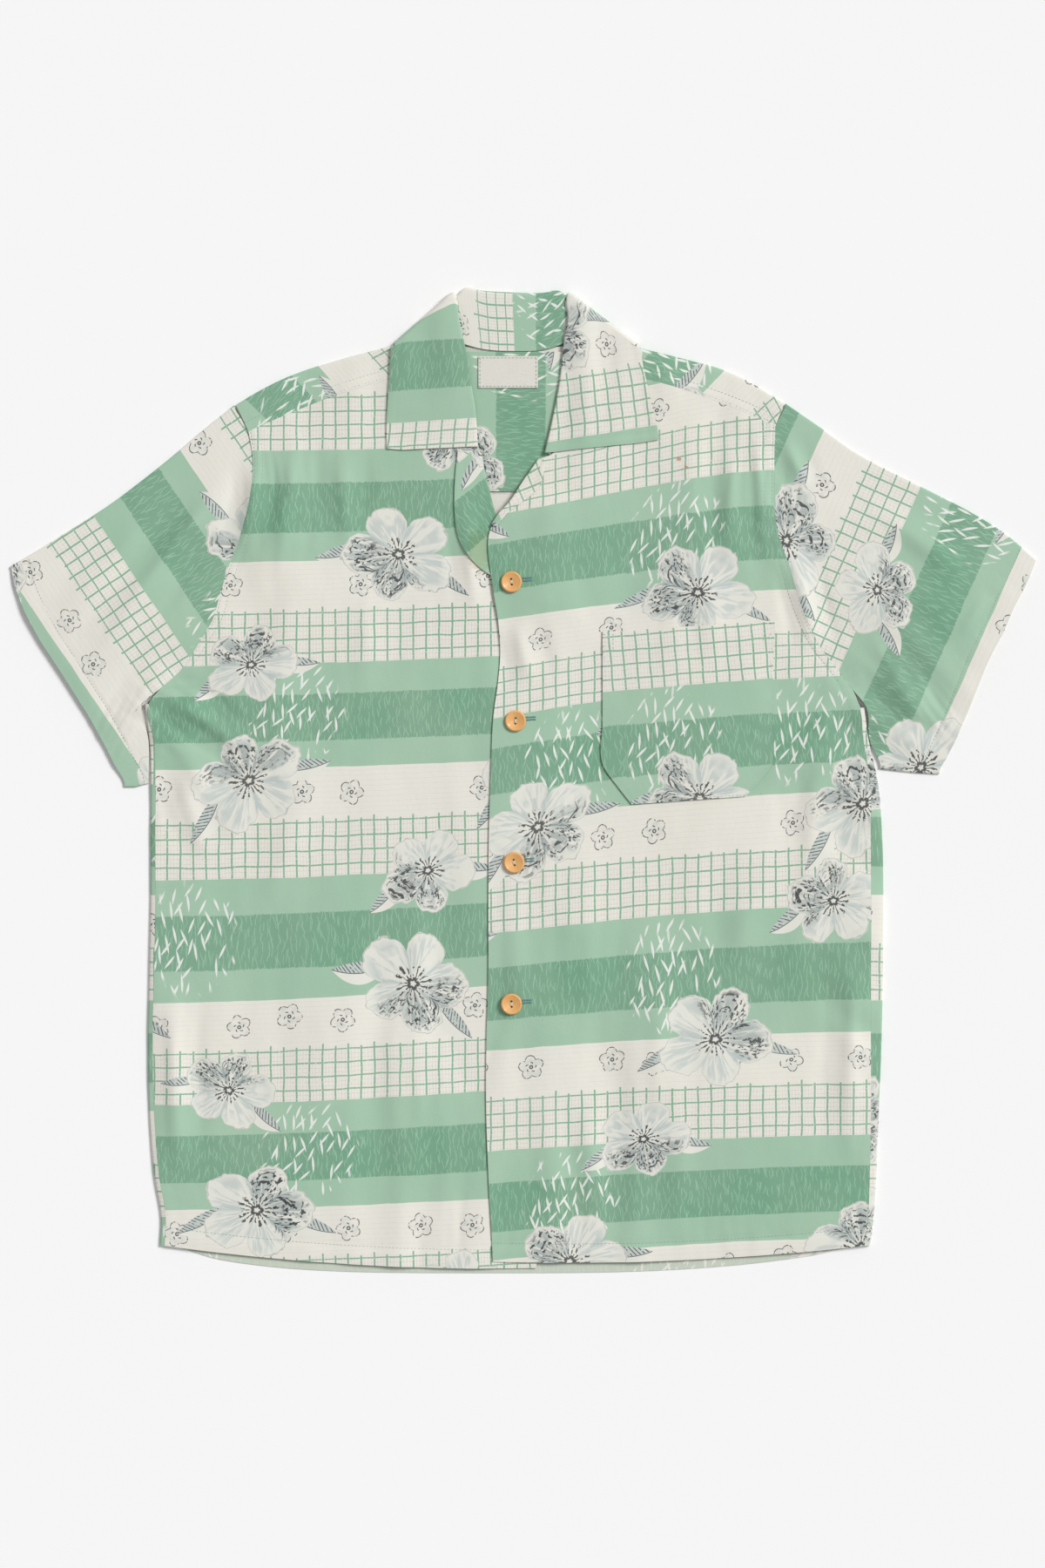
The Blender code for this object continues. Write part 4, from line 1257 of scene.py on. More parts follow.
def reed_strokes(graph, u, down, place, layer):
    """Short wavy strokes that stand upright in staggered columns."""
    width, height = 7.4, 14.5
    lean = graph.noise(graph.shift(place, (31 * layer, 5, 0)), 0.07, 1) * 7
    column = (u + lean) / width + layer / 4
    luck = graph.chance(graph.join(column.floor(), 11.0 * layer))
    row = down / height + luck
    luck_2 = graph.chance(graph.join(column.floor(), row.floor(), 3.0 * layer))
    far = (row % 1 - 0.5) * height
    wave = (far * 0.55 + luck_2 * math.tau).math("SINE") * (0.2 + luck * 0.35)
    aside_by = (column % 1 - 0.5) * width - (luck_2 - 0.5) * 3.2 + wave
    reach = far / (3.4 + luck_2 * 3.4)
    return (0.38 - abs(aside_by) - (reach * reach).math("POWER", 2) * 0.42).past(0.06, 0.32)


def printed_stripes(graph, u, v, inks):
    """The ground: check, pale green, deep green, pale green and cream down the cloth.

    Gives it with the mask of the green stripes and the distance down the repeat.
    """
    place = graph.join(u, v)
    wander = (graph.noise(place, 0.045, 2) - 0.5) * 1.6
    down = (wander - v) % REPEAT
    fringe = (graph.noise(graph.join(u * 1.1, v * 0.16), 1.0, 1) - 0.5) * 2.6
    pale = down.between(CHECK_END, CREAM_START, 0.35)
    deep = (down + fringe).between(DEEP_START, DEEP_END, 0.5)
    mottle = graph.noise(place, 0.9, 3, 0.6)
    ground = graph.mix(pale, inks["cream"], inks["pale"])
    ground = graph.mix(deep, ground, inks["deep"])
    ground = graph.mix((mottle - 0.35) * 0.16 * pale, ground, inks["cream"])

    for layer in (1, 2, 3, 4):
        ground = graph.mix(reed_strokes(graph, u, down, place, layer) * deep * 0.62, ground,
                           inks["reed"])

    wave_u = u + (graph.noise(place, 0.05, 1) - 0.5) * 1.6
    wave_v = down + (graph.noise(graph.shift(place, (40, 7, 0)), 0.05, 1) - 0.5) * 1.4
    upright = ((wave_u / CHECK_WIDTH) % 1 - 0.5) * CHECK_WIDTH
    level = (((wave_v - CHECK_FIRST) / CHECK_HEIGHT + 0.5) % 1 - 0.5) * CHECK_HEIGHT
    worn = graph.noise(place, 0.8, 2).past(0.36, 0.12)
    start = graph.chance(graph.join((wave_u / CHECK_WIDTH).floor(), 3.0)) * -4.5
    from_top = down - down.past(REPEAT - 8, 0.2) * REPEAT - start
    uprights = upright.near(0.68, 0.4) * from_top.between(0, CHECK_END - start, 0.5)
    levels = level.near(0.56, 0.36) * down.between(0, CHECK_END - 0.6, 0.4)
    thin_up = ((wave_u / CHECK_WIDTH * 4 + 0.5) % 1 - 0.5) * (CHECK_WIDTH / 4)
    thin_over = ((wave_v / CHECK_HEIGHT * 3 + 0.2) % 1 - 0.5) * (CHECK_HEIGHT / 3)
    thin = thin_up.near(0.12, 0.24) * from_top.between(1.5, CHECK_END - start, 0.5)
    thin = thin | thin_over.near(0.12, 0.24) * down.between(1, CHECK_END, 0.5)
    faint = graph.noise(place, 0.5, 1).past(0.38, 0.25)
    ground = graph.mix(thin * faint * 0.62, ground, inks["grey"])
    ground = graph.mix((uprights | levels) * (worn * 0.8 + 0.15), ground, inks["line"])

    pin = ((wave_v / 3.9) % 1 - 0.5) * 3.9
    ruled = pin.near(0.12, 0.3) * down.between(CREAM_START + 2, REPEAT - 2, 0.5)
    ground = graph.mix(ruled * faint * 0.28, ground, inks["grey"])
    return ground, pale, down


def printed_sprays(graph, u, v, ground, pale, inks):
    """White sprays of narrow leaves, printed over the green stripes."""
    x, y, luck, luck_2 = cell_place(graph, u, v, 196, REPEAT, 61, 0, (50, 8))
    x, y = turn(x, y, (luck_2 - 0.5) * 0.7)
    cloud = (x / 37).math("POWER", 2) + (y / 40).math("POWER", 2)
    region = 1 - (cloud + (graph.noise(graph.join(u, v), 0.07) - 0.5) * 1.2).past(0.9, 0.2)
    total = None
    for k, (angle, reach_x, reach_y) in enumerate(((0.25, 6.8, 17), (-0.5, 7.4, 15))):
        px, py = turn(x + 3.1 * k, y + 5.3 * k, angle)
        column = (px / reach_x).floor()
        luck_a = graph.chance(graph.join(column, 1.0 + k, luck))
        row = py / reach_y + luck_a
        lx = px % reach_x - reach_x / 2
        ly = (row % 1 - 0.5) * reach_y
        luck_b = graph.chance(graph.join(column, row.floor(), 4.0 + k))
        lean = (luck_b - 0.5) * 0.75
        lx, ly = turn(lx, ly, lean)
        lx = lx - ly * ly * (luck_a - 0.5) * 0.02
        belly = 1 - (ly / (reach_y * 0.42)).math("POWER", 2)
        leaf = (belly - abs(lx)).past(0.12, 0.35) * luck_b.past(0.3, 0.01)
        total = leaf if total is None else total | leaf
    total = total * region * pale * luck.past(0.22, 0.01)
    dry = graph.noise(graph.join(u, v), 1.4, 1).past(0.34, 0.1)
    return graph.mix(total * (dry * 0.6 + 0.35), ground, inks["white"])


def printed_buds(graph, u, v, ground, down, inks):
    """Small inked five-petalled blossoms, strewn along the cream stripes."""
    x, y, luck, luck_2 = cell_place(graph, u, v, 47, REPEAT / 2, 11, 0, (18, 0))
    y = down - (CREAM_START + REPEAT) / 2 + (luck_2 - 0.5) * 13
    radius = (x * x + y * y).math("SQRT")
    angle = y.math("ARCTAN2", x) + luck * math.tau
    petals = abs((angle * 2.5).math("COSINE"))
    rim = petals * 2.9 + 5.6 + luck_2 * 1.3
    dabs = graph.noise(graph.join(u, v), 0.42, 1)
    line = (radius - rim).near(0.4, 0.4) * dabs.past(0.44, 0.1)
    inner = (radius - rim * 0.42).near(0.45, 0.4) * ((angle * 5).math("SINE").past(0.2, 0.3))
    seed = (radius - 1.1).near(0.5, 0.3)
    wash = (rim - radius).past(0.2, 1.2) * graph.noise(graph.join(u, v), 0.2, 1).past(0.5, 0.2)
    shown = luck_2.past(0.35, 0.01)
    ground = graph.mix(wash * shown * 0.3, ground, inks["blue"])
    return graph.mix((line | inner | seed) * shown * 0.92, ground, inks["ink"])


def printed_flowers(graph, u, v, ground, inks, width, phase, size):
    """Large ivory flower heads with blue-grey shadows, ink stamens and two leaves each."""
    x, y, luck, luck_2 = cell_place(graph, u, v, width, REPEAT, *phase, FLOWER_LUCK)
    lean = (luck_2 - 0.5) * 1.1
    x, y = turn(x, y, lean)
    place = graph.join(x, y, luck * 20)
    for side in (-1, 1):
        inside, lx, ly = leaf_shape(x, y, (side * 0.98 * size, -0.3 * size), side * -0.45 + 0.1,
                                    0.55 * size, 0.2 * size)
        veins = ((lx + abs(ly) * 0.9) / 3.1 * side) % 1
        strokes = veins.between(0.1, 0.42, 0.1) * graph.noise(place, 0.3, 1).past(0.42, 0.1)
        spine = ly.near(0.3, 0.3)
        shade = graph.mix(ly.past(0, 1.5) * 0.75, inks["ivory"], inks["blue"])
        shade = graph.mix((strokes * ly.past(0.4, 0.5) | spine) * 0.9, shade, inks["ink"])
        ground = graph.mix(inside, ground, shade)
    radius = (x * x + y * y * 1.55).math("SQRT")
    angle = y.math("ARCTAN2", x) + luck * math.tau
    ruffle = (graph.noise(place, 0.11, 2) - 0.5) * (0.3 * size)
    petals = abs((angle * 2.5).math("COSINE"))
    rim = petals.math("POWER", 0.55) * (0.5 * size) + 0.62 * size + ruffle
    share = radius / rim
    inside = (1 - share).past(0.0, 0.02)
    valley = (1 - petals).math("POWER", 5) * share.between(0.12, 0.98, 0.2)
    grain = graph.noise(graph.join((angle * 2.2).math("SINE") * 3, share * 1.1, luck), 2.0, 2)
    wash = valley * 0.75 + (grain.past(0.5, 0.12) * share.between(0.3, 0.9, 0.2)) * 0.6
    petal = graph.mix(wash & 0.85, inks["ivory"], inks["blue"])
    edge = (share - 0.985).near(0.009, 0.01)
    petal = graph.mix(edge * 0.7, petal, inks["grey"])
    rays = ((angle * 17 + graph.noise(place, 0.3) * 5).math("SINE").past(0.35, 0.4)
            * share.between(0.1, 0.36, 0.04) * graph.noise(place, 0.5, 1).past(0.43, 0.08))
    heart = (share - 0.09).near(0.035, 0.02)
    around = (angle * 3).math("SINE") * 4 + share
    brush = graph.noise(graph.join(around, share * 9, luck_2 * 7), 1.5, 2)
    side_on = (angle - luck_2 * 4).math("COSINE").past(0.25, 0.3)
    dashes = brush.past(0.55, 0.05) * share.between(0.42, 0.9, 0.1) * side_on
    dusk = grain.past(0.42, 0.16) * share.between(0.2, 0.82, 0.25) * side_on
    petal = graph.mix(dusk * 0.6, petal, graph.mix(0.62, inks["ink"], inks["blue"]))
    petal = graph.mix((rays | heart | dashes) * 0.95, petal, inks["ink"])
    return graph.mix(inside, ground, petal)


def cloth_colour(graph, faded):
    """The print's colour, as it lies on the face of the cloth or shows through to its back."""
    looks = bpy.context.scene.shirt_colours
    inks = {name: (*getattr(looks, name), 1) for name in
            ("cream", "pale", "deep", "reed", "line", "grey", "white", "ivory", "blue", "ink")}
    u, v = graph.split(graph.uv())
    colour, pale, down = printed_stripes(graph, u, v, inks)
    colour = printed_sprays(graph, u, v, colour, pale, inks)
    colour = printed_buds(graph, u, v, colour, down, inks)
    for flower in FLOWERS:
        colour = printed_flowers(graph, u, v, colour, inks, *flower)
    cloudy = graph.noise(graph.join(u, v), 0.013, 2).past(0.4, 0.3)
    colour = graph.mix(cloudy * 0.07, colour, inks["cream"])
    if faded:
        colour = graph.mix(faded, colour, inks["cream"])
    return colour


def weave_bump(graph, u, v):
    """Plain weave of fine yarns with slubs, over a soft unevenness."""
    warp = (u * (math.tau / 0.45)).math("SINE")
    weft = (v * (math.tau / 0.5)).math("SINE")
    yarns = warp * weft
    here = graph.here()
    slub = graph.noise(graph.stretch(here, 0.9, 0.12), 1.0, 2)
    cloth = graph.bump(yarns * 0.5 + slub * 0.8, 0.00006, 0.5)
    soft = graph.noise(graph.stretch(here, 1, 0.6), 0.09, 3, 0.5)
    return graph.bump(soft, 0.0011, 0.3, cloth)


def printed_cloth(name, faded=0.0, marks=()):
    """Cotton with the print on it. marks are spots: (colour, x, y, half_x, half_y, strength)."""
    graph = Graph(name)
    colour = cloth_colour(graph, faded)
    x, y = graph.split(graph.here())
    ragged = graph.noise(graph.here(), 0.35, 2)
    age = graph.noise(graph.here(), 0.012, 3)
    colour = graph.mix((age - 0.5) * 0.18 & 1, colour, AGED_CLOTH)
    for tint, mark_x, mark_y, half_x, half_y, strength in marks:
        far = ((x - mark_x) / half_x).math("POWER", 2) + ((y - mark_y) / half_y).math("POWER", 2)
        spot = 1 - (far + (ragged - 0.5) * 2.2).past(0.8, 0.5)
        how = "MULTIPLY" if strength < 0.6 else "MIX"
        colour = graph.mix(spot * strength, colour, (*tint, 1), how)
    u, v = graph.split(graph.uv())
    graph.set(Base_Color=colour, Roughness=0.78 + (ragged - 0.5) * 0.12,
              Normal=weave_bump(graph, u, v), Sheen_Weight=0.12, Sheen_Roughness=0.45,
              Specular_IOR_Level=0.25)
    return graph.material


def thread_material(name, colour):
    """Twisted sewing thread."""
    graph = Graph(name)
    here = graph.here()
    twist = graph.noise(graph.stretch(here, 2.4), 1.0, 2)
    tone = graph.mix(twist * 0.35, (*colour, 1), (*(c * 0.7 for c in colour), 1))
    graph.set(Base_Color=tone, Roughness=0.55 + twist * 0.1, Sheen_Weight=0.2,
              Normal=graph.bump(twist, 0.0001, 0.5))
    return graph.material


def tape_material(name):
    """Woven cream tape, bare."""
    looks = bpy.context.scene.shirt_colours
    graph = Graph(name)
    here = graph.here()
    x, y = graph.split(here)
    rib = (y * (math.tau / 0.55)).math("SINE") * (x * (math.tau / 0.42)).math("SINE")
    cloudy = graph.noise(here, 0.12, 3)
    tone = graph.mix(cloudy * 0.15, (*looks.tape, 1), TAPE_SHADE)
    tone = graph.mix(rib.past(0.2, 0.8) * 0.1, tone, TAPE_RIB)
    graph.set(Base_Color=tone, Roughness=0.6 + cloudy * 0.15, Sheen_Weight=0.2,
              Normal=graph.bump(rib, 0.00012, 0.6))
    return graph.material


def button_material(name):
    """Turned wood: orange tan rings and fibres, darker pores; a painted highlight on the raised
    rim leaves the grooves darker.
    """
    looks = bpy.context.scene.shirt_colours
    graph = Graph(name)
    here = graph.here()
    fibres = graph.noise(graph.stretch(here, 0.35, 3.2), 1.0, 4, 0.6)
    cloudy = graph.noise(here, 0.16, 2)
    pores = graph.noise(graph.stretch(here, 1.1, 7.0), 1.0, 2).past(0.64, 0.05)
    tone = graph.mix(fibres * 0.8, (*looks.button, 1), (*looks.button_dark, 1))
    tone = graph.mix((cloudy - 0.35) * 0.6 & 1, tone, WOOD_PALE)
    tone = graph.mix(pores * 0.3, tone, WOOD_PORE)
    outward, _ = graph.split(graph.uv())
    # Painted highlight: the raised rim is lightened where light would catch it, so the dish inside
    # looks darker.
    tone = graph.mix(outward.between(6.1, 7.9, 0.5) * 0.6, tone, PAINTED_RIM_HIGHLIGHT)
    graph.set(Base_Color=tone, Roughness=0.36 + fibres * 0.2, Coat_Weight=0.12,
              Normal=graph.bump(fibres - pores * 0.6, 0.00015, 0.4))
    return graph.material


def floor_material(name):
    """Plain matt white."""
    looks = bpy.context.scene.shirt_colours
    graph = Graph(name)
    cloudy = graph.noise(graph.here(), 0.004, 2)
    tone = graph.mix(cloudy * 0.06, (*looks.floor, 1), FLOOR_SHADE)
    graph.set(Base_Color=tone, Roughness=0.9, Specular_IOR_Level=0.1)
    return graph.material


def kept_material(name, make, *details, **more):
    """The material of that name, made the first time it is asked for."""
    found = bpy.data.materials.get(name)
    if found is None:
        found = make(name, *details, **more)
    return found


def cloth_materials(name, marks=()):
    """Face and back of a piece's cloth."""
    face = kept_material(name + " face" if marks else "printed face", printed_cloth, marks=marks)
    back = kept_material("printed back", printed_cloth, BACK_FADED)
    return [face, back]


# ------------------------------------------------------------------------------ sewing


STITCH_LIFT = 0.62      # how far a seam's stitches stand over the cloth's middle
STITCH_HEIGHT = 0.34    # how thick a stitch's thread is


def stitch(mesh, start, end, width, height):
    """One stitch: a bead of thread that lies from start to end."""
    run = Vector(end) - Vector(start)
    turned = run.to_track_quat("X", "Z").to_matrix().to_4x4()
    size = Matrix.Diagonal((run.length / 2, width / 2, height / 2, 1))
    place = Matrix.Translation((Vector(start) + Vector(end)) / 2)
    matrix = Matrix.Scale(MM, 4) @ place @ turned @ size
    bmesh.ops.create_icosphere(mesh, subdivisions=1, radius=1, matrix=matrix)


def stitch_line(points, s):
    """Stitches along a line on the cloth, each a little uneven."""
    mesh = bmesh.new()
    runs = [math.dist(a, b) for a, b in zip(points, points[1:])]
    total = sum(runs)
    count = int(total / s["stitch_step"])

    def spot(far):
        for a, b, run in zip(points, points[1:], runs):
            if far <= run:
                return a.lerp(b, far / run if run else 0)
            far -= run
        return points[-1]

    for i in range(count):
        luck = uneven(points[0].x + i * 1.7, points[0].y, 0.5)
        start = spot(i * total / count + 0.25 * luck)
        end = spot(i * total / count + s["stitch"] + 0.2 * luck)
        up = Vector((0, 0, STITCH_LIFT + 0.05 * luck))
        stitch(mesh, start + up, end + up, s["thread"], STITCH_HEIGHT)
    return mesh


def finish_sewing(name, parts, made):
    """Joins the stitches' meshes into one piece."""
    joined = bmesh.new()
    for part in parts:
        data = bpy.data.meshes.new("part")
        part.to_mesh(data)
        part.free()
        joined.from_mesh(data)
        bpy.data.meshes.remove(data)
    piece = from_bmesh(name, joined, [made])
    piece.data.shade_smooth()
    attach(piece, "root")
    return piece


def sew(name, *sewn):
    """Stitches beside the edges of pieces, as one piece.

    sewn holds pairs of a piece and its rows: (edge, distance), or with the shares of the edge
    that a row starts and ends at.
    """
    s = sizes()
    parts = [stitch_line(piece.inside(*row), s) for piece, rows in sewn for row in rows]
    thread = kept_material("seam thread", thread_material, bpy.context.scene.shirt_colours.thread)
    return finish_sewing(name, parts, thread)


# ------------------------------------------------------------------------------ settings


def size(name, text, value, low=0.0, high=1.0):
    return bpy.props.FloatProperty(name=name, description=text, default=value, min=low, max=high,
                                   subtype="DISTANCE", unit="LENGTH", precision=5)


def colour(name, text, value):
    return bpy.props.FloatVectorProperty(name=name, description=text, default=value, min=0, max=1,
                                         size=3, subtype="COLOR")


class ShirtSizes(bpy.types.PropertyGroup):
    spacing: size("Spacing", "Distance between the corners of the shown cloth's mesh", 0.0030)
    hidden_spacing: size("Hidden spacing", "The same for cloth that lies under the rest", 0.0062)
    wall: size("Cloth", "Thickness of the cloth", 0.0009)
    tape_wall: size("Tape", "Thickness of the label's tape", 0.0006)
    hem: size("Hem", "Distance of the hem's stitches from the hem", 0.0142)
    cuff_hem: size("Sleeve hem", "Distance of the sleeve hem's stitches from the cuff", 0.0152)
    edge_row: size("Edge row", "Distance of the first row of stitches from a seam", 0.0016)
    collar_row: size("Collar row", "Distance of the collar's pressed edge from its rim", 0.0060)
    second_row: size("Second row", "Distance of the second row of stitches from a seam", 0.0075)
    pocket_hem: size("Pocket hem", "Distance of the mouth's hem from the mouth", 0.021)
    stitch: size("Stitch", "Length of a stitch", 0.0021)
    stitch_step: size("Stitch step", "Distance from one stitch to the next", 0.0028)
    thread: size("Thread", "Width of a stitch", 0.00042)
    button_radius: size("Button", "Radius of a button", 0.0080)
    button_height: size("Button height", "Height of a button", 0.0028)
    button_rim: size("Button rim", "Width of a button's raised rim", 0.0017)
    button_dish: size("Button dish", "Depth of a button's face below its rim", 0.0006)
    button_hole: size("Button hole", "Radius of a button's thread holes", 0.00085)
    button_apart: size("Hole spacing", "Distance between a button's thread holes", 0.0039)
    buttonhole: size("Buttonhole", "How far a buttonhole reaches from its button's middle", 0.0155)
    pocket_box_width: size("Pocket box width", "Box of stitches at the pocket's mouth", 0.008)
    pocket_box_height: size("Pocket box height", "Box of stitches at the pocket's mouth", 0.0106)
    camera_height: size("Camera height", "Height of the camera over the floor", 3.0, 0.5, 10)
    camera_width: size("Picture width", "Width of the floor that the camera sees", 0.792, 0.1, 5)


class ShirtColours(bpy.types.PropertyGroup):
    cream: colour("Cream", "Ground of the cream and checked stripes", (0.800, 0.775, 0.705))
    pale: colour("Pale green", "Plain green stripes", (0.338, 0.535, 0.388))
    deep: colour("Deep green", "Ground of the wavy-lined stripes", (0.160, 0.360, 0.230))
    reed: colour("Reed green", "Wavy lines on the deep green", (0.320, 0.560, 0.395))
    line: colour("Check green", "Heavy lines of the check", (0.190, 0.410, 0.268))
    grey: colour("Check grey", "Fine lines of the check and on the cream", (0.440, 0.410, 0.400))
    white: colour("White", "Leaf sprays on the green stripes", (0.830, 0.850, 0.800))
    ivory: colour("Ivory", "Petals and leaves of the large flowers", (0.770, 0.770, 0.700))
    blue: colour("Blue-grey", "Shadows on the flowers", (0.450, 0.530, 0.520))
    ink: colour("Ink", "Drawn lines", (0.022, 0.030, 0.034))
    thread: colour("Thread", "Seam thread", (0.410, 0.520, 0.480))
    buttonhole: colour("Buttonhole thread", "Thread round the buttonholes", (0.130, 0.270, 0.265))
    cord: colour("Button thread", "Thread in the buttons", (0.760, 0.700, 0.580))
    tape: colour("Tape", "Label tape", (0.850, 0.825, 0.760))
    button: colour("Button", "Wood of the buttons", (0.880, 0.480, 0.165))
    button_dark: colour("Button, dark", "Dark fibres of the wood", (0.640, 0.290, 0.085))
    floor: colour("Floor", "Floor under the shirt", (0.955, 0.955, 0.955))


def sizes():
    """The sizes in millimetres."""
    held = bpy.context.scene.shirt_sizes
    return {name: getattr(held, name) / MM for name in ShirtSizes.__annotations__}


# ------------------------------------------------------------------------------ the pieces

# How close corners are joined, in metres.
WELD = 0.00005
LOOSE_WELD = 0.0001
LAPEL_PRESSED = 5.0     # how far inside its edge a lapel is pressed


def make_back():
    s = sizes()
    body = back_rows()
    upper = back_top_rows()
    first = len(body[0]) - len(upper[0])
    margin = first // 2
    whole = list(body)
    for row in upper:
        shift_low = [tuple(p - q for p, q in zip(a, body[-1][margin])) for a in body[-1][:margin]]
        shift_high = [tuple(p - q for p, q in zip(a, body[-1][-margin - 1]))
                      for a in body[-1][-margin:]]
        low = [tuple(p + q for p, q in zip(row[0], shift)) for shift in shift_low]
        high = [tuple(p + q for p, q in zip(row[-1], shift)) for shift in shift_high]
        whole.append(low + row + high)
    piece = Piece(whole)
    printed = straight_print("back")
    us, vs = piece.stations("u", s["hidden_spacing"]), piece.stations("v", s["hidden_spacing"])
    last = len(body) - 1
    mesh = bmesh.new()
    add_grid(mesh, us, [v for v in vs if v <= last], piece.at, printed)
    inner = [u for u in us if margin <= u <= margin + BACK_COLUMNS]
    add_grid(mesh, inner, [v for v in vs if v >= last], piece.at, printed)
    bmesh.ops.remove_doubles(mesh, verts=mesh.verts, dist=LOOSE_WELD)
    # The body's inside faces up, so the printed face is the lower one.
    face, back = cloth_materials("back")
    made = finish_cloth("back_cloth", mesh, [back, face], s["wall"], "back")


def make_yoke():
    s = sizes()
    columns, right, left = yoke_parts()
    rows = list(zip(*columns))
    base = Piece([list(row) for row in rows])
    us, vs = base.stations("u", s["spacing"] * 1.3), base.stations("v", s["hidden_spacing"])
    print_on = straight_print("yoke")
    mesh = bmesh.new()
    add_grid(mesh, us, vs, base.at, print_on)
    last = len(rows) - 1
    total = len(columns) - 1
    seam_rows = (("high", s["edge_row"]), ("high", s["second_row"]))
    straps = []
    sides = ((right, 0, RIGHT_SHOULDER_SLOPE), (left, total - STRAP_COLUMNS, LEFT_SHOULDER_SLOPE))
    for over, start, tilt in sides:
        first_row = [columns[start + i][-1] for i in range(STRAP_COLUMNS + 1)]
        strap_piece = Piece([first_row] + [list(row) for row in zip(*over)], seam_rows)
        near = [u - start for u in us if start <= u <= start + STRAP_COLUMNS]
        angle = math.radians(tilt)
        way = Vector((math.cos(angle), math.sin(angle)))

        def place(u, v, strap_piece=strap_piece, start=start):
            return base.at(u + start, last) if v == 0 else strap_piece.at(u, v)

        def printed(point, u, v, start=start, way=way):
            fold = base.at(u + start, last)
            flat = Vector(point[:2]) - Vector(fold[:2])
            over_it = way * (2 * flat.dot(way)) - flat
            return print_on((fold.x + over_it.x, fold.y + over_it.y), u, v)

        strap_vs = strap_piece.stations("v", s["spacing"])
        add_grid(mesh, near, strap_vs, place, printed)
        straps.append(strap_piece)
    bmesh.ops.remove_doubles(mesh, verts=mesh.verts, dist=LOOSE_WELD)
    # Over the fold the printed face is on top; on the back part it lies below.
    face, back = cloth_materials("yoke")
    made = finish_cloth("yoke_cloth", mesh, [back, face], s["wall"], "yoke")
    seams = sew("yoke_stitches", *((strap_piece, seam_rows) for strap_piece in straps))


def make_inner_yoke():
    s = sizes()
    rows = []
    for y, left_x, right_x in INNER_YOKE:
        points = [(mix(left_x, right_x, i / INNER_YOKE_COLUMNS), y)
                  for i in range(INNER_YOKE_COLUMNS + 1)]
        rows.append([(*p, inner_yoke_mid(*p), 0) for p in points])
    piece = Piece(rows)
    mesh = cloth_grid(piece, s["spacing"], straight_print("inner_yoke"))
    made = finish_cloth("inner_yoke_cloth", mesh, cloth_materials("inner_yoke"), s["wall"],
                        "inner_yoke")
    seams = sew("inner_yoke_stitches", (piece, [("low", s["edge_row"])]))


def make_front(side_name, side, armhole, centre, height, stripes, marks):
    s = sizes()
    name = side_name + "_front"
    piece = Piece(front_rows(side, armhole, centre, height),
                  (("left", s["edge_row"]), ("left", s["second_row"]), ("low", s["hem"])))
    first, last, rows = lapel_rows(centre, height)
    lapel = Piece(rows, (("right", LAPEL_PRESSED),))
    printed = stripes_print(stripes)
    roll_low = Vector(rows[0][0][:2])
    roll_high = Vector(rows[-1][0][:2])
    roll_way = (roll_high - roll_low).normalized()

    def lapel_place(u, v):
        return piece.at(COLUMNS, first + v) if u == 0 else lapel.at(u, v)

    def lapel_print(point, u, v):
        """The lapel is the front's own cloth, turned back along its roll."""
        foot = piece.at(COLUMNS, first + v)
        flat = Vector(point[:2]) - Vector(foot[:2])
        over = roll_way * (2 * flat.dot(roll_way)) - flat
        return printed((foot.x + over.x, foot.y + over.y), COLUMNS, v)

    mesh = cloth_grid(piece, s["spacing"], printed)
    lapel_vs = [v - first for v in piece.stations("v", s["spacing"]) if first <= v <= last]
    add_grid(mesh, lapel.stations("u", s["spacing"]), lapel_vs, lapel_place, lapel_print, slot=1)
    bmesh.ops.remove_doubles(mesh, verts=mesh.verts, dist=WELD)
    face, back = cloth_materials(name, marks)
    made = finish_cloth(name + "_cloth", mesh, [face, back, face], s["wall"], name,
                        flipped=side_name == "left")
    seams = sew(name + "_stitches", (piece, piece.sewn))
    return piece


def make_sleeve(side_name, lie, side, armhole, back_armhole, away):
    s = sizes()
    name = side_name + "_sleeve"
    piece = Piece(sleeve_rows(lie, side, armhole, back_armhole, away), (("low", s["cuff_hem"]),))
    mesh = cloth_grid(piece, s["spacing"], straight_print(name))
    bmesh.ops.remove_doubles(mesh, verts=mesh.verts, dist=WELD)
    made = finish_cloth(name + "_cloth", mesh, cloth_materials(name), s["wall"], name,
                        flipped=away > 0)
    seams = sew(name + "_stitches", (piece, piece.sewn))


def make_collar():
    s = sizes()
    rows = collar_rows()
    piece = Piece(rows, [(edge, s["collar_row"]) for edge in ("right", "low", "high")])
    last = len(rows) - 1
    fall = STAND_COLUMNS + FOLD_STEPS + 2
    leaf_top, leaf_foot = len(RIGHT_LEAF) - 1, last - len(LEFT_LEAF) + 1
    middle = piece.run("column", fall)

    def on_leaf(point, side_name):
        lie = LEAF_PRINT[side_name]
        rise = point[1] - lie["y"] - lie["slope"] * (point[0] - lie["x"])
        return lie["down"] + lie["stretch"] * rise

    def printed(point, u, v):
        if v <= leaf_top or v >= leaf_foot:
            down = on_leaf(point, "right" if v <= leaf_top else "left")
        else:
            start = on_leaf(spline(rows[leaf_top], u), "right")
            end = on_leaf(spline(rows[leaf_foot], u), "left")
            far = piece.length("column", fall, v)
            share = (far - middle[leaf_top]) / (middle[leaf_foot] - middle[leaf_top])
            down = mix(start, end, share)
        return piece.length("row", v, u), -down

    face, _ = cloth_materials("collar")
    mesh = cloth_grid(piece, s["spacing"], printed)
    made = finish_cloth("collar_cloth", mesh, [face], s["wall"], "collar")


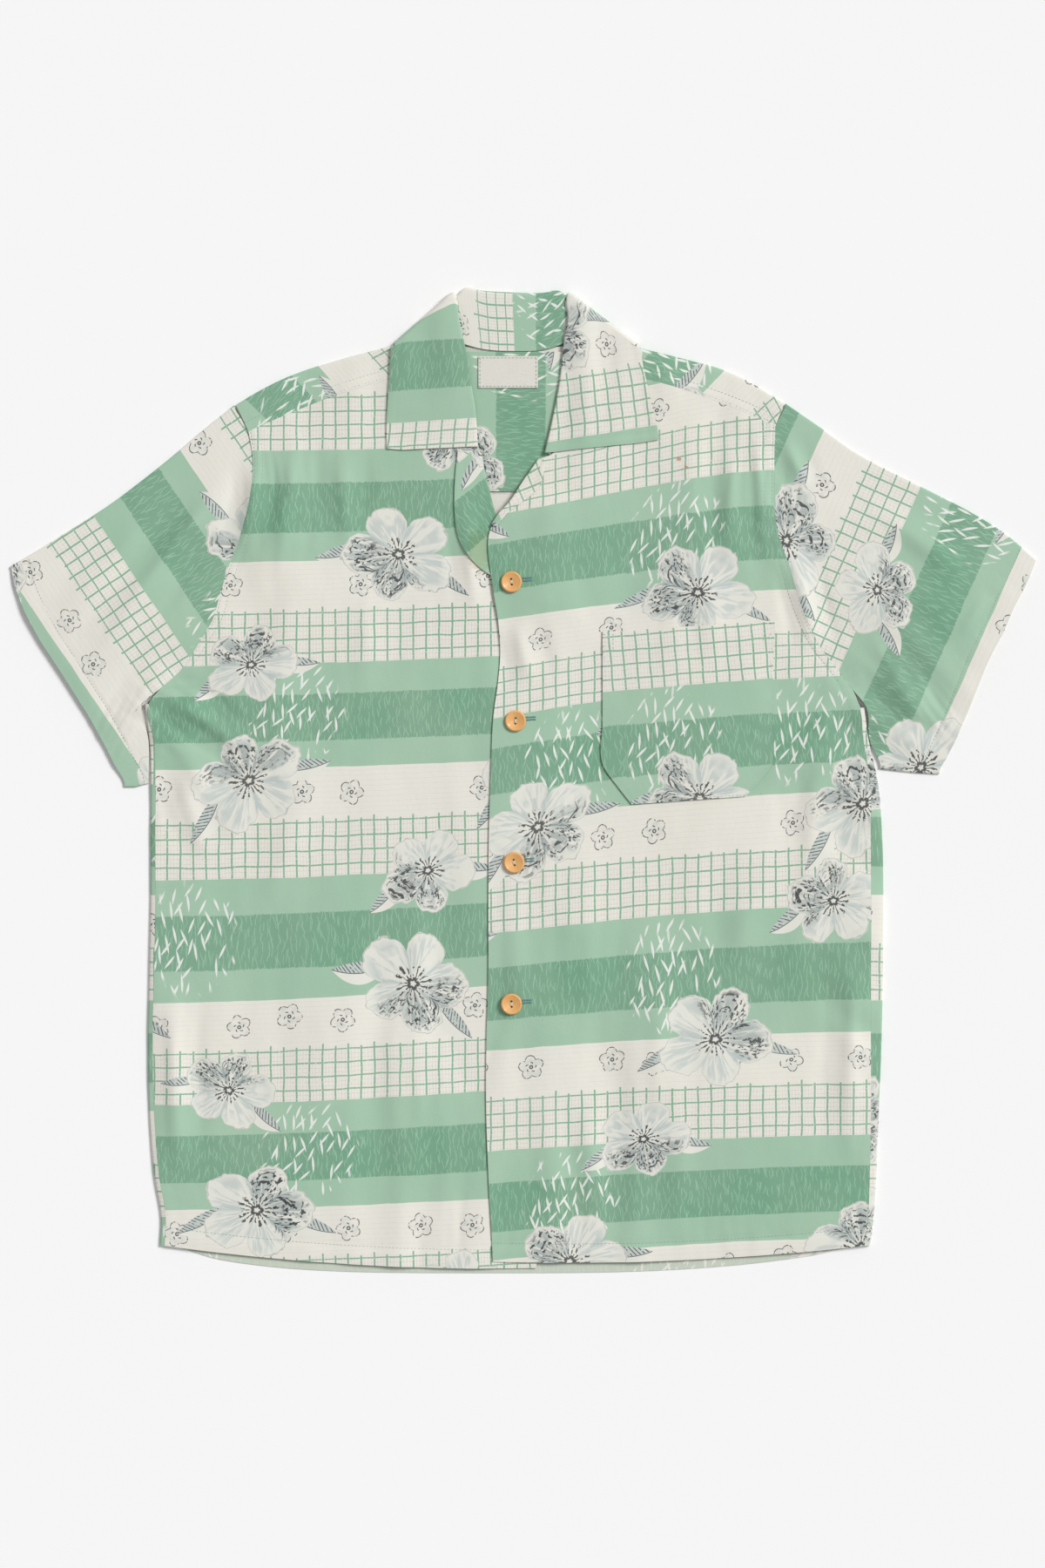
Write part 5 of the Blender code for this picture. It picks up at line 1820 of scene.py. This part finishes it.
def make_pocket():
    s = sizes()
    pressed = [(edge, s["edge_row"]) for edge in ("left", "right", "low")]
    pressed.append(("high", s["pocket_hem"]))
    piece = Piece(pocket_rows(), pressed)
    mesh = cloth_grid(piece, s["spacing"], straight_print("pocket"))
    made = finish_cloth("pocket_cloth", mesh, cloth_materials("pocket"), s["wall"], "pocket")
    # A box of stitches holds each corner of the mouth.
    wide, high = s["pocket_box_width"], s["pocket_box_height"]
    tall = 1 - high / (POCKET[0][1] - POCKET[-1][1])
    short = wide / (POCKET[0][2] - POCKET[0][0])
    boxes = [("left", wide, tall, 1), ("right", wide, tall, 1)]
    for distance in (high, s["edge_row"]):
        boxes += [("high", distance, 0, short), ("high", distance, 1 - short, 1)]
    seams = sew("pocket_stitches", (piece, pressed[:-1] + boxes))


def make_label():
    s = sizes()
    lift = WALL / 2 + LABEL["half_wall"] + GAP
    rows = []
    for j in range(LABEL_ROWS + 1):
        points = [(mix(*LABEL["x"], i / LABEL_COLUMNS), mix(*LABEL["y"], j / LABEL_ROWS))
                  for i in range(LABEL_COLUMNS + 1)]
        rows.append([(*p, inner_yoke_mid(*p) + lift, 0) for p in points])
    piece = Piece(rows)
    mesh = cloth_grid(piece, LABEL_SPACING, lambda point, u, v: (point[0], point[1]))
    tape = kept_material("bare tape", tape_material)
    made = finish_cloth("label_tape", mesh, [tape], s["tape_wall"], "label")
    rows = [(edge, LABEL_SEWN) for edge in ("left", "right", "low", "high")]
    seams = sew("label_stitches", (piece, rows))


def button_blank(s):
    """A turned button with a raised rim, a small dish in its face and two thread holes."""
    radius, height = s["button_radius"], s["button_height"]
    inner, floor = radius - s["button_rim"], s["button_height"] - s["button_dish"]
    profile = ((0, 0), (radius - 0.7, 0), (radius, 0.8), (radius, height - 0.9),
               (radius - 0.55, height - 0.15), (radius - 1.1, height), (inner, height - 0.2),
               (inner - 0.6, floor), (3.4, floor), (2.7, floor - 0.45), (0, floor - 0.5))
    turned = bmesh.new()
    points = [turned.verts.new(Vector((x, 0, z)) * MM) for x, z in profile]
    edges = [turned.edges.new(pair) for pair in zip(points, points[1:])]
    bmesh.ops.spin(turned, geom=points + edges, cent=(0, 0, 0), axis=(0, 0, 1),
                   angle=math.tau, steps=64, use_merge=True)
    bmesh.ops.remove_doubles(turned, verts=turned.verts, dist=0.01 * MM)
    bmesh.ops.recalc_face_normals(turned, faces=turned.faces)
    drills = bmesh.new()
    for way in (-1, 1):
        made = bmesh.ops.create_cone(drills, cap_ends=True, segments=20, depth=4 * height * MM,
                                     radius1=s["button_hole"] * MM, radius2=s["button_hole"] * MM)
        place = (0, way * s["button_apart"] / 2 * MM, 0)
        bmesh.ops.translate(drills, verts=made["verts"], vec=place)
    disc, drill = from_bmesh("button blank", turned), from_bmesh("button drills", drills)
    cut = disc.modifiers.new("thread holes", "BOOLEAN")
    cut.object = drill
    cut.operation = "DIFFERENCE"
    graph = bpy.context.evaluated_depsgraph_get()
    mesh = bpy.data.meshes.new_from_object(disc.evaluated_get(graph))
    turning = mesh.uv_layers.new(name="turning")
    for loop, spot in zip(mesh.loops, turning.data):
        point = mesh.vertices[loop.vertex_index].co / MM
        spot.uv = (point.xy.length, point.z)
    for guide in (disc, drill):
        bpy.data.meshes.remove(guide.data)
    return mesh


def buttonhole(x, y, reach, lift):
    """A slit's satin stitches from under a button towards the side."""
    mesh = bmesh.new()
    start, slant, rise = 5.5, 0.06, 1.2
    count = int(reach / 0.5)
    for i in range(count):
        far = start + (reach - start) * i / count
        for way in (-1, 1):
            luck = uneven(x + far * 3.1, y + way, 0.3)
            inner = (x + far, y + rise + far * slant + way * (0.2 + 0.1 * luck))
            outer = (x + far + 0.2 * luck, y + rise + far * slant + way * (1.7 + 0.7 * luck))
            ends = [(*p, left_front_mid(*p) + wrinkles(*p) + lift) for p in (inner, outer)]
            stitch(mesh, *ends, 0.5, STITCH_HEIGHT)
    return mesh


def make_buttons():
    s = sizes()
    looks = bpy.context.scene.shirt_colours
    wood = kept_material("turned wood", button_material)
    blank = button_blank(s)
    cord = kept_material("button thread", thread_material, looks.cord)
    satin = kept_material("buttonhole thread", thread_material, looks.buttonhole)
    holes = []
    for number, (x, y) in enumerate(BUTTONS, 1):
        radius = s["button_radius"]
        under = [(x + radius * dx, y + radius * dy) for dx in (-1, 0, 1) for dy in (-1, 0, 1)]
        seat = max(left_front_mid(*p) + wrinkles(*p) for p in under) + s["wall"] / 2
        data = blank.copy()
        data.name = f"button {number}"
        turned = Matrix.Rotation(math.radians(BUTTON_TURNS[number - 1]), 4, "Z")
        data.transform(Matrix.Translation(Vector((x, y, seat)) * MM) @ turned)
        data.shade_smooth()
        made = linked(f"button_{number}_wood", data, [wood])
        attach(made, "root")
        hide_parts(f"button_{number}")
        mesh = bmesh.new()
        face = seat + s["button_height"] - s["button_dish"] - 0.25
        for offset in (-0.5, 0, 0.5):
            half = s["button_apart"] / 2
            ends = ((x + offset, y - half, face), (x + offset, y + half, face + 0.1))
            stitch(mesh, *ends, 0.62, 0.6)
        finish_sewing(f"button_{number}_thread", [mesh], cord)
        holes.append(buttonhole(x, y, s["buttonhole"], s["wall"] / 2 + 0.1))
    bpy.data.meshes.remove(blank)
    finish_sewing("buttonholes", holes, satin)


# The soft light: where it comes from, its spread in degrees, its power and the sky's.
SUN_FROM = (0.80, 0.55, 1.0)
SUN_SPREAD = 20
SUN_POWER = 2.4
SKY_POWER = 0.42
# The place over which the camera stands, the width of its sensor, and half the floor's in metres.
CAMERA_X, CAMERA_Y = -0.66, -2.64
SENSOR = 24
FLOOR_SIZE = 6


def make_stage():
    s = sizes()
    grid = bmesh.new()
    bmesh.ops.create_grid(grid, x_segments=1, y_segments=1, size=FLOOR_SIZE)
    floor = from_bmesh("floor", grid, [kept_material("plain floor", floor_material)])

    sun = bpy.data.lights.new("softbox", "SUN")
    sun.angle = math.radians(SUN_SPREAD)
    sun.energy = SUN_POWER
    lamp = linked("softbox", sun)
    lamp.rotation_euler = Vector((-v for v in SUN_FROM)).to_track_quat("-Z", "Y").to_euler()
    world = bpy.data.worlds.new("studio")
    world.use_nodes = True
    sky = world.node_tree.nodes["Background"]
    sky.inputs["Color"].default_value = (1, 1, 1, 1)
    sky.inputs["Strength"].default_value = SKY_POWER
    scene = bpy.context.scene
    scene.world = world
    scene.view_settings.view_transform = "Standard"

    lens = bpy.data.cameras.new("camera")
    lens.sensor_fit = "HORIZONTAL"
    lens.sensor_width = SENSOR
    lens.lens = SENSOR * s["camera_height"] / s["camera_width"]
    camera = linked("camera", lens)
    camera.location = Vector((CAMERA_X, CAMERA_Y, s["camera_height"])) * MM
    scene.camera = camera


# ------------------------------------------------------------------------------ add-on


def make_fronts():
    make_front("right", RIGHT_SIDE, RIGHT_ARMHOLE, RIGHT_CENTRE, top_mid, RIGHT_STRIPES,
               RIGHT_STAINS)
    make_front("left", LEFT_SIDE, LEFT_ARMHOLE, LEFT_CENTRE, left_front_mid, LEFT_STRIPES,
               LEFT_STAINS)


def make_sleeves():
    make_sleeve("right", RIGHT_SLEEVE, RIGHT_SIDE, RIGHT_ARMHOLE, RIGHT_BACK_ARMHOLE, -1)
    make_sleeve("left", LEFT_SLEEVE, LEFT_SIDE, LEFT_ARMHOLE, LEFT_BACK_ARMHOLE, 1)


class SHIRT_OT_back(bpy.types.Operator):
    """Make the back, folded round both sides."""

    bl_idname = "shirt.back"
    bl_label = "Back"

    def execute(self, context):
        make_back()
        return {"FINISHED"}


class SHIRT_OT_yoke(bpy.types.Operator):
    """Make the yoke and its straps over the shoulders."""

    bl_idname = "shirt.yoke"
    bl_label = "Yoke"

    def execute(self, context):
        make_yoke()
        return {"FINISHED"}


class SHIRT_OT_inner_yoke(bpy.types.Operator):
    """Make the inner yoke, seen through the neck."""

    bl_idname = "shirt.inner_yoke"
    bl_label = "Inner Yoke"

    def execute(self, context):
        make_inner_yoke()
        return {"FINISHED"}


class SHIRT_OT_fronts(bpy.types.Operator):
    """Make both fronts with their lapels."""

    bl_idname = "shirt.fronts"
    bl_label = "Fronts"

    def execute(self, context):
        make_fronts()
        return {"FINISHED"}


class SHIRT_OT_sleeves(bpy.types.Operator):
    """Make both sleeves."""

    bl_idname = "shirt.sleeves"
    bl_label = "Sleeves"

    def execute(self, context):
        make_sleeves()
        return {"FINISHED"}


class SHIRT_OT_collar(bpy.types.Operator):
    """Make the collar."""

    bl_idname = "shirt.collar"
    bl_label = "Collar"

    def execute(self, context):
        make_collar()
        return {"FINISHED"}


class SHIRT_OT_pocket(bpy.types.Operator):
    """Make the patch pocket."""

    bl_idname = "shirt.pocket"
    bl_label = "Pocket"

    def execute(self, context):
        make_pocket()
        return {"FINISHED"}


class SHIRT_OT_label(bpy.types.Operator):
    """Make the bare label tape."""

    bl_idname = "shirt.label"
    bl_label = "Label"

    def execute(self, context):
        make_label()
        return {"FINISHED"}


class SHIRT_OT_buttons(bpy.types.Operator):
    """Make the buttons, their thread and the buttonholes."""

    bl_idname = "shirt.buttons"
    bl_label = "Buttons"

    def execute(self, context):
        make_buttons()
        return {"FINISHED"}


class SHIRT_OT_stage(bpy.types.Operator):
    """Make the floor, the light and the camera."""

    bl_idname = "shirt.stage"
    bl_label = "Stage"

    def execute(self, context):
        make_stage()
        return {"FINISHED"}


OPERATORS = (SHIRT_OT_back, SHIRT_OT_yoke, SHIRT_OT_inner_yoke, SHIRT_OT_fronts,
             SHIRT_OT_sleeves, SHIRT_OT_collar, SHIRT_OT_pocket, SHIRT_OT_label,
             SHIRT_OT_buttons, SHIRT_OT_stage)


class SHIRT_PT_panel(bpy.types.Panel):
    """The shirt's sizes, colours and steps."""

    bl_label = "Shirt"
    bl_idname = "SHIRT_PT_panel"
    bl_space_type = "VIEW_3D"
    bl_region_type = "UI"
    bl_category = "Shirt"

    def draw(self, context):
        for step in OPERATORS:
            self.layout.operator(step.bl_idname)
        for group in (context.scene.shirt_sizes, context.scene.shirt_colours):
            box = self.layout.box()
            for name in type(group).__annotations__:
                box.prop(group, name)


CLASSES = (ShirtSizes, ShirtColours, *OPERATORS, SHIRT_PT_panel)


def register():
    for made in CLASSES:
        bpy.utils.register_class(made)
    bpy.types.Scene.shirt_sizes = bpy.props.PointerProperty(type=ShirtSizes)
    bpy.types.Scene.shirt_colours = bpy.props.PointerProperty(type=ShirtColours)


def unregister():
    del bpy.types.Scene.shirt_sizes
    del bpy.types.Scene.shirt_colours
    for made in reversed(CLASSES):
        bpy.utils.unregister_class(made)


def main():
    register()
    for step in OPERATORS:
        getattr(bpy.ops.shirt, step.bl_idname.split(".")[1])()


if __name__ == "__main__":
    main()
